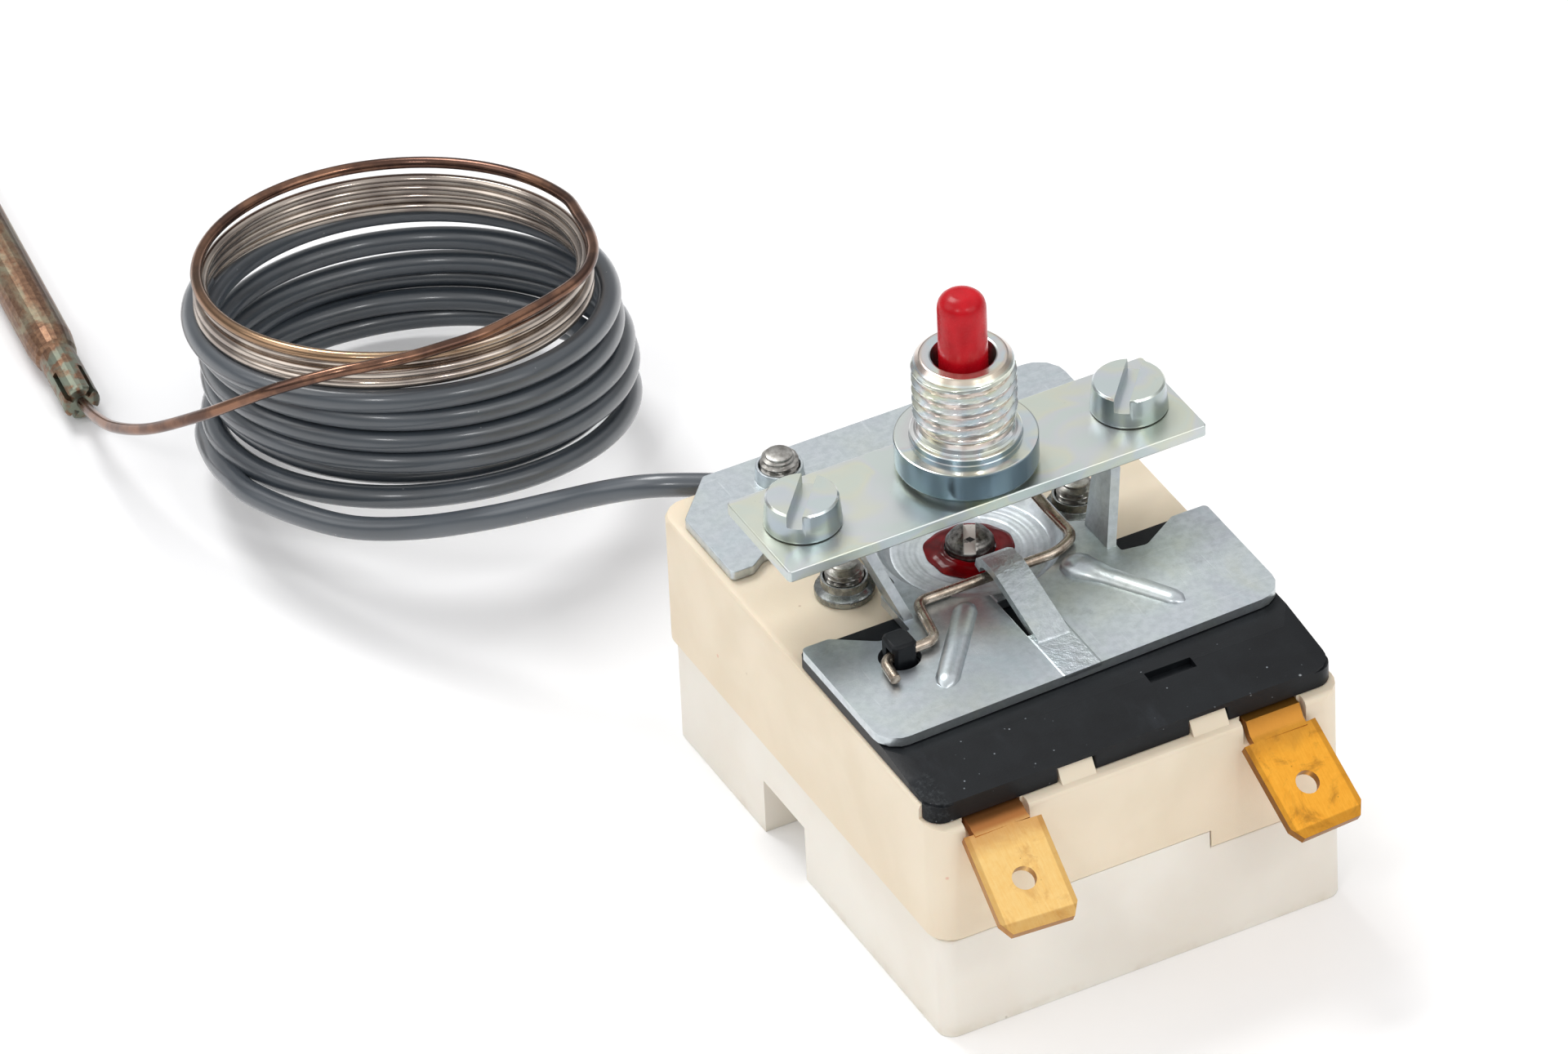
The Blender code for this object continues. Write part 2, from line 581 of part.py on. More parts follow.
def upper_housing():
    low = BASE_TOP + SEAT
    body = block("upper_housing", HOUSING_HALF, HOUSING_FRONT, HOUSING_BACK, low, HOUSING_TOP,
                 HOUSING_EDGE, HOUSING_SOFT)
    wide = HOUSING_HALF - HOUSING_WALL
    near = HOUSING_FRONT + HOUSING_WALL
    far = HOUSING_BACK - HOUSING_WALL
    corners = ((-wide, near), (wide, near), (wide, far), (-wide, far))
    cut(body, prism("housing_cavity", rounded(corners, 1.2 * MM), low - 2.0 * MM, ROOF_UNDER, True))
    for side, tag in ((-1.0, "left"), (1.0, "right")):
        weld(body, cylinder("housing_pillar_" + tag, side * MID_SCREW_X, MID_SCREW_Y, MID_PILLAR,
                            low + 0.2 * MM, ROOF_UNDER + MM))
        weld(body, box("housing_rear_pillar_" + tag,
                       (side * REAR_SCREW_X - REAR_PILLAR_HALF, REAR_PILLAR_FRONT, low + 0.3 * MM),
                       (side * REAR_SCREW_X + REAR_PILLAR_HALF, HOUSING_BACK - MM, ROOF_UNDER + MM), True))
    cut(body, box("housing_tongue_seat", (TONGUE_LEFT - SEAT, HOUSING_FRONT - MM, low - MM),
                  (TONGUE_RIGHT + SEAT, BASE_FRONT + TONGUE_DEPTH + SEAT, TONGUE_TOP + SEAT), True))
    front = HOUSING_FRONT - MM
    above = HOUSING_TOP + MM
    section = ((front, LEDGE_Z - LEDGE_SOFT), (HOUSING_FRONT, LEDGE_Z - LEDGE_SOFT),
               (HOUSING_FRONT + 0.35 * LEDGE_SOFT, LEDGE_Z - 0.35 * LEDGE_SOFT),
               (HOUSING_FRONT + LEDGE_SOFT, LEDGE_Z), (LEDGE_RISE[0], LEDGE_Z),
               (LEDGE_RISE[1], HOUSING_TOP + SEAT), (LEDGE_RISE[1], above), (front, above))
    cut(body, loft("housing_ledge", [[(x, y, z) for y, z in section]
                                     for x in (-HOUSING_HALF - MM, HOUSING_HALF + MM)], True))
    for i, (left, right) in enumerate(FINGERS):
        start = left - (2.0 * MM if i == 0 else SEAT)
        end = right + (2.0 * MM if i == 2 else SEAT)
        cut(body, box("finger_pocket_%d" % (i + 1), (start, front - i * 0.1 * MM, LEDGE_Z - 0.02 * MM),
                      (end, FINGER_BACK + SEAT, above), True))
    groove = NECK_Z - SHEET / 2.0 - SEAT
    half = NECK_HALF + 0.15 * MM
    rise = STRIP_RISE_Y + SHEET / 2.0
    for tag, x in (("left", TAB_LEFT[0]), ("right", TAB_RIGHT[0])):
        cut(body, box("terminal_groove_" + tag, (x - half, HOUSING_FRONT - MM, groove),
                      (x + half, rise + SEAT, HOUSING_TOP + MM), True))
        edge = HOUSING_FRONT + 1.05 * MM
        sill = ((HOUSING_FRONT - 1.3 * MM, NECK_SILL_Z), (HOUSING_FRONT, NECK_SILL_Z),
                (edge, groove + 0.02 * MM), (edge, LEDGE_Z + MM), (HOUSING_FRONT - 1.3 * MM, LEDGE_Z + MM))
        cut(body, loft("terminal_sill_" + tag, [[(side_x, y, z) for y, z in sill]
                                                for side_x in (x - half - 0.25 * MM, x + half + 0.25 * MM)], True))
        cut(body, box("terminal_slot_" + tag, (x - half + 0.05 * MM, STRIP_RISE_Y - 0.5 * MM, ROOF_UNDER - MM),
                      (x + half - 0.05 * MM, rise + 0.05 * MM, groove + 0.5 * MM), True))
    duct = [(FEED_PATH[4][0] - 0.3 * MM, FEED_PATH[4][1] - 1.2 * MM, FEED_Z), *FEED_PATH[4:0:-1],
            (EXIT_X + 0.2 * MM, HOUSING_BACK + 0.9 * MM, EXIT_Z + 0.05 * MM)]
    cut(body, tube("capillary_duct", duct, CAPILLARY + 0.15 * MM, True))
    entry = SLEEVE_START[:2]
    inward = (Vector(entry[0]) - Vector(entry[1])).normalized()
    cut(body, tube("sleeve_entry", [Vector(entry[0]) + inward * 0.15 * MM, Vector(entry[1])],
                   SLEEVE + 0.1 * MM, True))
    bore = M3 + SCREW_FIT
    head = REAR_HEAD + SCREW_FIT
    seat = REAR_HEAD_TOP + SEAT
    top = HOUSING_TOP + MM
    stepped = [(0.0, top), (bore, top), (bore, seat), (head, seat), (head, low - MM), (0.0, low - MM)]
    items = [(plain_bore(PLUNGER_ROUND + RUN_FIT, ROOF_UNDER - MM, top), PLUNGER_X, PLUNGER_Y),
             (plain_bore(GRUB + 0.4 * MM, ROOF_UNDER - MM, top), 0.0, 0.0)]
    for side in (-1.0, 1.0):
        items.append((stepped, side * REAR_SCREW_X, REAR_SCREW_Y))
        items.append((plain_bore(bore, low - MM, top), side * MID_SCREW_X, MID_SCREW_Y))
    cut(body, bores("housing_bores", items))
    paint(body, CREAM, 0.0, 0.5)


def half_space(name, a, b, c):
    # Block whose underside lies on the plane through three points, seen from above.
    normal = (Vector(b) - Vector(a)).cross(Vector(c) - Vector(a)).normalized()
    if normal.z < 0.0:
        normal = -normal
    along = (Vector(b) - Vector(a)).normalized()
    across = normal.cross(along)
    size = 60.0 * MM
    rings = []
    for lift in (0.0, 12.0 * MM):
        base = Vector(a) + normal * lift
        rings.append([base - along * size - across * size, base + along * size - across * size,
                      base + along * size + across * size, base - along * size + across * size])
    return loft(name, rings, True)


def front_cover():
    low = HOUSING_TOP + SEAT
    corners = ((-COVER_HALF, COVER_FRONT), (COVER_HALF, COVER_FRONT), (COVER_HALF, COVER_BACK),
               (-COVER_HALF, COVER_BACK))
    body = prism("front_cover", rounded(corners, (COVER_EDGE, COVER_EDGE, 0.6 * MM, 0.6 * MM)),
                 low, COVER_TOP)
    for i, (left, right) in enumerate(FINGERS):
        finger = ((left, COVER_FRONT), (right, COVER_FRONT), (right, FINGER_BACK), (left, FINGER_BACK))
        radii = (0.97 * FINGER_EDGE if i == 0 else 0.2 * MM, 0.97 * FINGER_EDGE if i == 2 else 0.2 * MM, 0.0, 0.0)
        weld(body, prism("cover_finger_%d" % (i + 1), rounded(finger, radii), FINGER_LOW,
                         low + 0.15 * MM, True))
    cut(body, half_space("cover_band", (0.0, BAND_START, COVER_TOP), (MM, BAND_START, COVER_TOP),
                         (0.0, COVER_FRONT, BAND_FRONT_Z)))
    for side, tag in ((-1.0, "left"), (1.0, "right")):
        cut(body, half_space("cover_hip_" + tag, (side * HIP_NEAR[0], HIP_NEAR[1], COVER_TOP),
                             (side * HIP_FAR[0], HIP_FAR[1], COVER_TOP),
                             (side * COVER_HALF, COVER_FRONT, HIP_LOW_Z)))
    cut(body, box("cover_slot", (COVER_SLOT[0], COVER_SLOT[1], COVER_SLOT_FLOOR),
                  (COVER_SLOT[2], COVER_SLOT[3], COVER_TOP + MM), True))
    cut(body, cylinder("cover_plunger_hole", PLUNGER_X, PLUNGER_Y, PLUNGER_ROUND + RUN_FIT,
                       low - MM, COVER_TOP + MM))
    cut(body, cylinder("cover_bay", 0.0, 0.0, COVER_BAY, low - MM, COVER_TOP + MM, FINE_ROUND))
    for tag, x in (("left", TAB_LEFT[0]), ("right", TAB_RIGHT[0])):
        cut(body, box("cover_neck_room_" + tag, (x - NECK_HALF - 0.1 * MM, COVER_FRONT - MM, FINGER_LOW - MM),
                      (x + NECK_HALF + 0.1 * MM, FINGER_BACK + MM, NECK_Z + SHEET / 2.0 + 0.15 * MM), True))
    paint(body, BLACK, 0.0, 0.42)


def rib(name, ends, stations):
    # Pressed rib: half-round sections (place along it, half width, height) on the sheet.
    start = Vector((*ends[0], 0.0))
    run = Vector((*ends[1], 0.0)) - start
    across = Vector((-run.y, run.x, 0.0)).normalized()
    rings = []
    for place, half, height in stations:
        ring = [start + run * place + across * half + Vector((0, 0, PLATE_TOP - 0.3 * MM)),
                start + run * place - across * half + Vector((0, 0, PLATE_TOP - 0.3 * MM))]
        for k in range(9):
            turn = math.pi * (1.0 - k / 8.0)
            ring.append(start + run * place + across * (half * math.cos(turn))
                        + Vector((0, 0, PLATE_TOP - 0.02 * MM + height * math.sin(turn))))
        rings.append(ring)
    return loft(name, rings, True)


def strip_outline(path, thickness):
    # Outline of a bent sheet seen from its edge: the path offset to both sides.
    points = [Vector(point) for point in path]
    upper = []
    lower = []
    for i, point in enumerate(points):
        before = (point - points[i - 1]).normalized() if i > 0 else None
        after = (points[i + 1] - point).normalized() if i < len(points) - 1 else None
        if before is None:
            before = after
        if after is None:
            after = before
        normal = Vector((-(before + after).y, (before + after).x)).normalized()
        stretch = 1.0 / max(0.3, normal.dot(Vector((-after.y, after.x))))
        upper.append(point + normal * (thickness / 2.0 * stretch))
        lower.append(point - normal * (thickness / 2.0 * stretch))
    return upper + lower[::-1]


def bent_strip(name, path, thickness, left, right, tool=True):
    outline = strip_outline(path, thickness)
    return loft(name, [[(x, y, z) for y, z in outline] for x in (left, right)], tool)


def leg(name, side):
    rings = []
    for z, x, near, far in ((PLATE_TOP - 0.6 * MM, LEG_ROOT_X, -6.5 * MM, -2.95 * MM),
                            (PLATE_TOP + 0.2 * MM, LEG_ROOT_X, -6.4 * MM, -2.95 * MM),
                            (LEG_KNEE_Z, LEG_TOP_X, -4.1 * MM, -1.5 * MM),
                            (BRIDGE_LOW - SEAT, LEG_TOP_X + 0.05 * MM, -3.8 * MM, -1.25 * MM)):
        inner = side * x
        outer = side * (x + SHEET)
        rings.append([(inner, near, z), (outer, near, z), (outer, far, z), (inner, far, z)])
    return loft(name, rings, True)


def front_plate():
    low = PLATE_TOP - SHEET
    wing = PLATE_WING_BACK
    leg_edge = LEG_ROOT_X + SHEET + 0.04 * MM
    strip = STRIP_HALF
    outline = [(PLATE_LEFT, PLATE_FRONT_LEFT), (PLATE_RIGHT, PLATE_FRONT_RIGHT), (PLATE_RIGHT, wing),
               (PLATE_RIGHT - 3.0 * MM, wing), (leg_edge + 2.05 * MM, -7.45 * MM), (leg_edge, -7.1 * MM),
               (leg_edge, -2.8 * MM), (strip, -1.9 * MM), (strip, STRIP_BACK), (-strip, STRIP_BACK),
               (-strip, -1.9 * MM), (-leg_edge, -2.8 * MM), (-leg_edge, -7.5 * MM),
               (-leg_edge - 2.65 * MM, -7.6 * MM), (PLATE_LEFT + 2.35 * MM, wing), (PLATE_LEFT, wing)]
    radii = [2.0 * MM, 2.3 * MM, 0.4 * MM, 0.5 * MM, 0.8 * MM, 0.2 * MM, 0.2 * MM, 0.4 * MM, 1.0 * MM,
             1.0 * MM, 0.4 * MM, 0.2 * MM, 0.2 * MM, 0.8 * MM, 0.5 * MM, 0.4 * MM]
    slot = [(HOOK_SLOT[0], HOOK_SLOT[1]), (HOOK_SLOT[2], HOOK_SLOT[1]), (HOOK_SLOT[2], HOOK_SLOT[3]),
            (HOOK_SLOT[0], HOOK_SLOT[3])]
    holes = [circle(0.0, 0.0, DISH_OUTER - 0.1 * MM, FINE_ROUND), slot,
             circle(PLUNGER_X, PLUNGER_Y, 1.65 * MM, 24)]
    body = flat("front_plate", rounded(outline, radii, 4), holes, low, PLATE_TOP)
    hole = GRUB + 0.07 * MM
    dish = [(1.03, -0.02), (0.94, -0.08), (0.794, -0.7), (0.647, -1.0), (0.5, -0.9), (0.368, -1.08),
            (0.235, -0.98), (0.088, -1.14), (0.0, -1.15)]
    start = LACQUER + 0.3 * MM
    profile = [(start + share * (DISH_OUTER - start), PLATE_TOP + drop * MM) for share, drop in dish]
    profile = [(hole, DISH_FLOOR)] + profile[::-1]
    profile += [(1.014 * DISH_OUTER, low + 0.04 * MM), (0.975 * DISH_OUTER, low + 0.03 * MM), (0.85 * DISH_OUTER, DISH_UNDER),
                (hole, DISH_UNDER)]
    weld(body, turned("plate_dish", profile, (0.0, 0.0, 0.0), FINE_ROUND, True, True))
    flat_stations = ((-0.02, 0.15 * MM, 0.05 * MM), (0.03, RIB_HALF * 0.75, RIB_HEIGHT * 0.7),
                     (0.1, RIB_HALF, RIB_HEIGHT), (0.9, RIB_HALF, RIB_HEIGHT),
                     (0.97, RIB_HALF * 0.75, RIB_HEIGHT * 0.7), (1.02, 0.15 * MM, 0.05 * MM))
    dome_stations = ((-0.15, 0.2 * MM, 0.05 * MM), (-0.11, DOME_HALF * 0.66, DOME_HEIGHT * 0.6),
                     (-0.03, DOME_HALF * 0.95, DOME_HEIGHT * 0.95), (0.05, DOME_HALF, DOME_HEIGHT),
                     (0.15, DOME_HALF * 0.85, DOME_HEIGHT * 0.8), (0.28, RIB_HALF, RIB_HEIGHT),
                     (0.9, RIB_HALF * 0.9, RIB_HEIGHT * 0.9), (0.97, RIB_HALF * 0.7, RIB_HEIGHT * 0.6),
                     (1.02, 0.15 * MM, 0.05 * MM))
    weld(body, rib("plate_rib_left", RIB_LEFT, flat_stations))
    weld(body, rib("plate_rib_right", RIB_RIGHT, dome_stations))
    weld(body, bent_strip("plate_hook", HOOK_PATH, HOOK_SHEET, HOOK_LEFT, HOOK_RIGHT))
    weld(body, leg("plate_leg_left", -1.0), leg("plate_leg_right", 1.0))
    paint(body, ZINC, 0.9, 0.38)


def rear_plate():
    low = HOUSING_TOP + SEAT
    holes = [circle(side * REAR_SCREW_X, REAR_SCREW_Y, M3 + SCREW_FIT + 0.1 * MM, 24) for side in (-1.0, 1.0)]
    radii = [0.5 * MM, 0.4 * MM, 0.8 * MM, 2.4 * MM, 0.4 * MM, 0.4 * MM, 0.4 * MM]
    body = flat("rear_plate", rounded(REAR_OUTLINE, radii, 4), holes, low, REAR_PLATE_TOP)
    bore = M3 + SCREW_FIT
    for side, tag in ((-1.0, "left"), (1.0, "right")):
        weld(body, turned("rear_collar_" + tag,
                          [(REAR_COLLAR, REAR_COLLAR_TOP), (REAR_COLLAR + 0.1 * MM, REAR_PLATE_TOP - 0.3 * MM),
                           (bore, REAR_PLATE_TOP - 0.3 * MM), (bore, REAR_COLLAR_TOP)],
                          (side * REAR_SCREW_X, REAR_SCREW_Y, 0.0), 24, True, True))
    paint(body, ZINC, 0.9, 0.4)


def bridge_plate():
    corners = ((-BRIDGE_HALF, BRIDGE_FRONT), (BRIDGE_HALF, BRIDGE_FRONT), (BRIDGE_HALF, BRIDGE_BACK),
               (-BRIDGE_HALF, BRIDGE_BACK))
    holes = [circle(0.0, 0.0, BUSH_SPIGOT + SEAT)]
    holes += [circle(side * MOUNT_X, 0.0, MOUNT_SHANK + SCREW_FIT, 24) for side in (-1.0, 1.0)]
    body = flat("bridge_plate", rounded(corners, 0.25 * MM, 2), holes, BRIDGE_LOW, BRIDGE_TOP)
    paint(body, BRIGHT_ZINC, 0.9, 0.33)


def thread(crest, root, pitch, top, low):
    # Ridges of a thread, drawn as rings, from the top down.
    points = []
    z = top
    while z - pitch > low:
        points += [(crest, z), (crest, z - 0.22 * pitch), (root, z - 0.5 * pitch), (root, z - 0.62 * pitch)]
        z -= pitch
    points.append((crest, z))
    return points


def threaded_bushing():
    under = BRIDGE_TOP + SEAT
    bottom = BRIDGE_LOW - SEAT
    profile = [(BUSH_TOP_RADIUS, BUSH_TOP)]
    profile += thread(BUSH_THREAD, BUSH_ROOT, BUSH_PITCH, BUSH_TOP - 0.6 * MM, BUSH_THREAD_LOW)
    profile += [(BUSH_NECK, BUSH_THREAD_LOW - 0.1 * MM), (BUSH_NECK, BUSH_COLLAR_TOP),
                (BUSH_COLLAR, BUSH_COLLAR_TOP), (BUSH_COLLAR, BUSH_FLANGE_TOP),
                (BUSH_FLANGE - 0.2 * MM, BUSH_FLANGE_TOP), (BUSH_FLANGE, BUSH_FLANGE_TOP - 0.2 * MM),
                (BUSH_FLANGE, BUSH_FLANGE_LOW + 0.1 * MM), (BUSH_FLANGE - 0.1 * MM, BUSH_FLANGE_LOW),
                (BUSH_STEP, BUSH_FLANGE_LOW), (BUSH_STEP, under), (BUSH_SPIGOT, under),
                (BUSH_SPIGOT, bottom), (BUSH_BORE, bottom), (BUSH_BORE, BUSH_TOP - 0.15 * MM),
                (BUSH_BORE + 0.15 * MM, BUSH_TOP)]
    body = turned("threaded_bushing", profile, (0.0, 0.0, 0.0), FINE_ROUND, True)
    paint(body, BRIGHT_ZINC, 0.95, 0.25)


def reset_button():
    guide = BUSH_BORE - RUN_FIT
    profile = [(0.0, BUTTON_TOP), (BUTTON_FLAT, BUTTON_TOP), (BUTTON_FLAT + 0.45 * MM, BUTTON_TOP - 0.17 * MM),
               (BUTTON - 0.12 * MM, BUTTON_TOP - 0.5 * MM), (BUTTON, BUTTON_TOP - 0.95 * MM),
               (BUTTON, BUTTON_GUIDE_TOP + 0.4 * MM), (guide, BUTTON_GUIDE_TOP), (guide, BUTTON_FOOT_TOP),
               (BUTTON_FOOT, BUTTON_FOOT_TOP), (BUTTON_FOOT, BUTTON_FOOT_LOW), (0.0, BUTTON_FOOT_LOW)]
    body = turned("reset_button", profile)
    centre_on(body, (0.0, 0.0, BUTTON_FOOT_LOW))
    paint(body, RED, 0.0, 0.28)


def reset_lever():
    body = tube("reset_lever", bent(LEVER_PATH, LEVER_BEND), LEVER_RADIUS)
    centre_on(body, LEVER_AXIS)
    paint(body, (0.5, 0.46, 0.42), 0.95, 0.3)


def peg_ring(grow, z):
    # Square with cut corners round the plunger's centre, at one height.
    wide = PLUNGER_WIDE + grow
    long = PLUNGER_LONG + grow
    corner = PLUNGER_CORNER + 0.4 * max(grow, 0.0)
    corners = ((wide, corner - long), (wide, long - corner), (wide - corner, long), (corner - wide, long),
               (-wide, long - corner), (-wide, corner - long), (corner - wide, -long), (wide - corner, -long))
    return [(PLUNGER_X + x, PLUNGER_Y + y, z) for x, y in corners]


def reset_plunger():
    low, high = PLUNGER_COLLAR_Z
    body = loft("reset_plunger", [peg_ring(PLUNGER_COLLAR, low), peg_ring(PLUNGER_COLLAR, high),
                                  peg_ring(0.0, high + 0.02 * MM), peg_ring(0.0, PLUNGER_TOP - 0.2 * MM),
                                  peg_ring(-0.2 * MM, PLUNGER_TOP)])
    cut(body, box("plunger_slot", (PLUNGER_X - 3.0 * MM, PLUNGER_SLOT_Y - PLUNGER_SLOT_HALF, PLUNGER_SLOT_Z[0]),
                  (PLUNGER_X + 3.0 * MM, PLUNGER_SLOT_Y + PLUNGER_SLOT_HALF, PLUNGER_SLOT_Z[1]), True))
    centre_on(body, (PLUNGER_X, PLUNGER_Y, low))
    paint(body, BLACK, 0.0, 0.4)


def calibration_screw():
    profile = [(0.0, GRUB_TOP), (0.9 * MM, GRUB_TOP - 0.15 * MM), (1.5 * MM, GRUB_TOP - 0.55 * MM),
               (GRUB, GRUB_TOP - 1.1 * MM), (GRUB, GRUB_LOW + 0.4 * MM), (GRUB - 0.4 * MM, GRUB_LOW),
               (0.0, GRUB_LOW)]
    body = turned("calibration_screw", profile)
    slot = box("grub_slot", (-3.0 * MM, -GRUB_SLOT / 2.0, GRUB_TOP - 1.0 * MM),
               (3.0 * MM, GRUB_SLOT / 2.0, GRUB_TOP + MM), True)
    slot.rotation_euler.z = math.radians(62.0)
    cut(body, slot)
    paint(body, (0.35, 0.35, 0.34), 0.9, 0.35)
    inner = GRUB + SEAT
    low = DISH_FLOOR + 0.02 * MM
    ring = [(inner + 0.25 * MM, low + 0.45 * MM), (LACQUER - 0.9 * MM, low + 0.38 * MM),
            (LACQUER - 0.15 * MM, low + 0.25 * MM), (LACQUER, low + 0.12 * MM), (LACQUER, low + 0.05 * MM),
            (inner, low + 0.05 * MM), (inner, low + 0.35 * MM)]
    seal = turned("sealing_lacquer", ring, (0.0, 0.0, 0.0), ROUND, True)
    paint(seal, RED, 0.0, 0.15)


def mounting_screw(name, side):
    top = BRIDGE_TOP + SEAT + MOUNT_HEAD_HEIGHT
    base = BRIDGE_TOP + SEAT
    profile = [(0.0, top), (MOUNT_HEAD_CROWN - 0.15 * MM, top), (MOUNT_HEAD_CROWN, top - 0.15 * MM),
               (MOUNT_HEAD, base + 0.15 * MM), (MOUNT_HEAD, base), (MOUNT_SHANK, base),
               (MOUNT_SHANK, MOUNT_SHANK_LOW + 0.3 * MM), (MOUNT_SHANK - 0.3 * MM, MOUNT_SHANK_LOW),
               (0.0, MOUNT_SHANK_LOW)]
    body = turned(name, profile, (side * MOUNT_X, 0.0, 0.0), FINE_ROUND)
    slot = box(name + "_slot", (-4.0 * MM, -MOUNT_SLOT / 2.0, top - MOUNT_SLOT_DEEP),
               (4.0 * MM, MOUNT_SLOT / 2.0, top + MM), True)
    slot.location = (side * MOUNT_X, 0.0, 0.0)
    slot.rotation_euler.z = MOUNT_SLOT_TURN
    cut(body, slot)
    paint(body, BRIGHT_ZINC, 0.95, 0.28)
    return body


def housing_screw(name, x, y, top, head, head_low, head_top):
    profile = [(0.0, top), (M3 - SCREW_CHAMFER, top), (M3, top - SCREW_CHAMFER), (M3, head_top),
               (head, head_top), (head, head_low), (0.0, head_low)]
    body = turned(name, profile, (x, y, 0.0), 24)
    slot = box(name + "_slot", (-4.0 * MM, -0.4 * MM, head_low - MM), (4.0 * MM, 0.4 * MM, head_low + 0.9 * MM),
               True)
    slot.location = (x, y, 0.0)
    cut(body, slot)
    paint(body, (0.42, 0.42, 0.42), 0.95, 0.35)
    return body


def eyelet(name, side):
    low = HOUSING_TOP + SEAT
    bore = M3 + SCREW_FIT
    profile = [(EYELET_LIP, EYELET_TOP), (EYELET_LIP, EYELET_FLANGE_TOP + 0.15 * MM),
               (EYELET_FLANGE - 0.2 * MM, EYELET_FLANGE_TOP), (EYELET_FLANGE, EYELET_FLANGE_TOP - 0.2 * MM),
               (EYELET_FLANGE, low), (bore, low), (bore, EYELET_TOP)]
    body = turned(name, profile, (side * MID_SCREW_X, MID_SCREW_Y, 0.0), 24, True)
    paint(body, (0.5, 0.5, 0.5), 0.95, 0.3)
    return body


def terminal(name, shoulder, turn, strip_z, strip_end):
    # Strip inside, neck that steps down over the ledge and a tab turned by yaw and pitch.
    x, y, z = shoulder
    yaw, pitch = (math.radians(value) for value in turn)
    end_z = z - SHEET / 2.0
    path = ((strip_end, strip_z), (STRIP_RISE_Y, strip_z), (STRIP_RISE_Y, NECK_Z), (y + 1.3 * MM, NECK_Z),
            (y + 0.72 * MM, end_z + 0.25 * (NECK_Z - end_z)), (y, end_z))
    body = bent_strip(name, path, SHEET, x - NECK_HALF, x + NECK_HALF, False)
    corner = TAB_CORNER
    outline = [(-TAB_HALF, 0.0), (-TAB_HALF, -TAB_LENGTH + corner), (-TAB_HALF + 0.6 * corner, -TAB_LENGTH),
               (TAB_HALF - 0.6 * corner, -TAB_LENGTH), (TAB_HALF, -TAB_LENGTH + corner), (TAB_HALF, 0.0)]
    tab = flat(name + "_tab", outline, [circle(0.0, -TAB_HOLE_Y, TAB_HOLE, 20)], -SHEET, 0.0)
    PARTS.objects.unlink(tab)
    CUTTERS.objects.link(tab)
    tab.hide_render = True
    tab.display_type = 'WIRE'
    place = Matrix.Translation(Vector(shoulder))
    tab.data.transform(place @ Matrix.Rotation(yaw, 4, 'Z') @ Matrix.Rotation(pitch, 4, 'X'))
    weld(body, tab)
    if strip_end > RIVET_Y:
        cut(body, cylinder(name + "_rivet_hole", RIVET_X, RIVET_Y, 1.1 * MM, strip_z - MM, strip_z + MM, 20))
    paint(body, BRASS, 0.95, 0.3)
    return body


def contacts():
    left = CONTACT_X - 1.8 * MM
    step = CONTACT_X + 1.8 * MM
    front = CONTACT_Y - CONTACT
    right = RIVET_X + 1.4 * MM
    near = RIVET_Y - 2.3 * MM
    far = RIVET_Y + 2.3 * MM
    arm = 2.5 * MM
    outline = [(left, front), (step, front), (step, near), (right, near), (right, far), (arm, far),
               (arm, arm), (-arm, arm), (-arm, far), (left, far)]
    holes = [circle(PLUNGER_X, PLUNGER_Y, 1.7 * MM, 20), circle(RIVET_X, RIVET_Y, 1.1 * MM, 20)]
    spring = flat("contact_spring", rounded(outline, 0.4 * MM, 2), holes, SPRING_LOW, SPRING_TOP)
    centre_on(spring, (RIVET_X, RIVET_Y, (SPRING_LOW + SPRING_TOP) / 2.0))
    paint(spring, (0.7, 0.45, 0.25), 0.95, 0.3)
    strip_low = RIGHT_STRIP_Z - SHEET / 2.0
    head_top = SPRING_TOP + SEAT
    rivet = turned("spring_rivet", [(0.0, head_top + 0.5 * MM), (1.4 * MM, head_top + 0.4 * MM),
                                    (1.5 * MM, head_top), (1.0 * MM, head_top), (1.0 * MM, strip_low - SEAT),
                                    (1.5 * MM, strip_low - SEAT), (1.4 * MM, strip_low - 0.5 * MM),
                                    (0.0, strip_low - 0.6 * MM)], (RIVET_X, RIVET_Y, 0.0), 20)
    paint(rivet, BRASS, 0.95, 0.3)
    moving = turned("moving_contact", [(0.0, MOVING_CONTACT_TOP), (1.1 * MM, MOVING_CONTACT_TOP),
                                       (CONTACT, MOVING_CONTACT_TOP - 0.15 * MM), (CONTACT, SPRING_TOP + SEAT),
                                       (0.0, SPRING_TOP + SEAT)], (CONTACT_X, CONTACT_Y, 0.0), 20)
    paint(moving, (0.8, 0.8, 0.78), 0.95, 0.25)
    low = MOVING_CONTACT_TOP + SEAT
    fixed = turned("fixed_contact", [(0.0, FIXED_CONTACT_TOP), (CONTACT, FIXED_CONTACT_TOP),
                                     (CONTACT, low + 0.15 * MM), (1.1 * MM, low), (0.0, low)],
                   (CONTACT_X, CONTACT_Y, 0.0), 20)
    paint(fixed, (0.8, 0.8, 0.78), 0.95, 0.25)


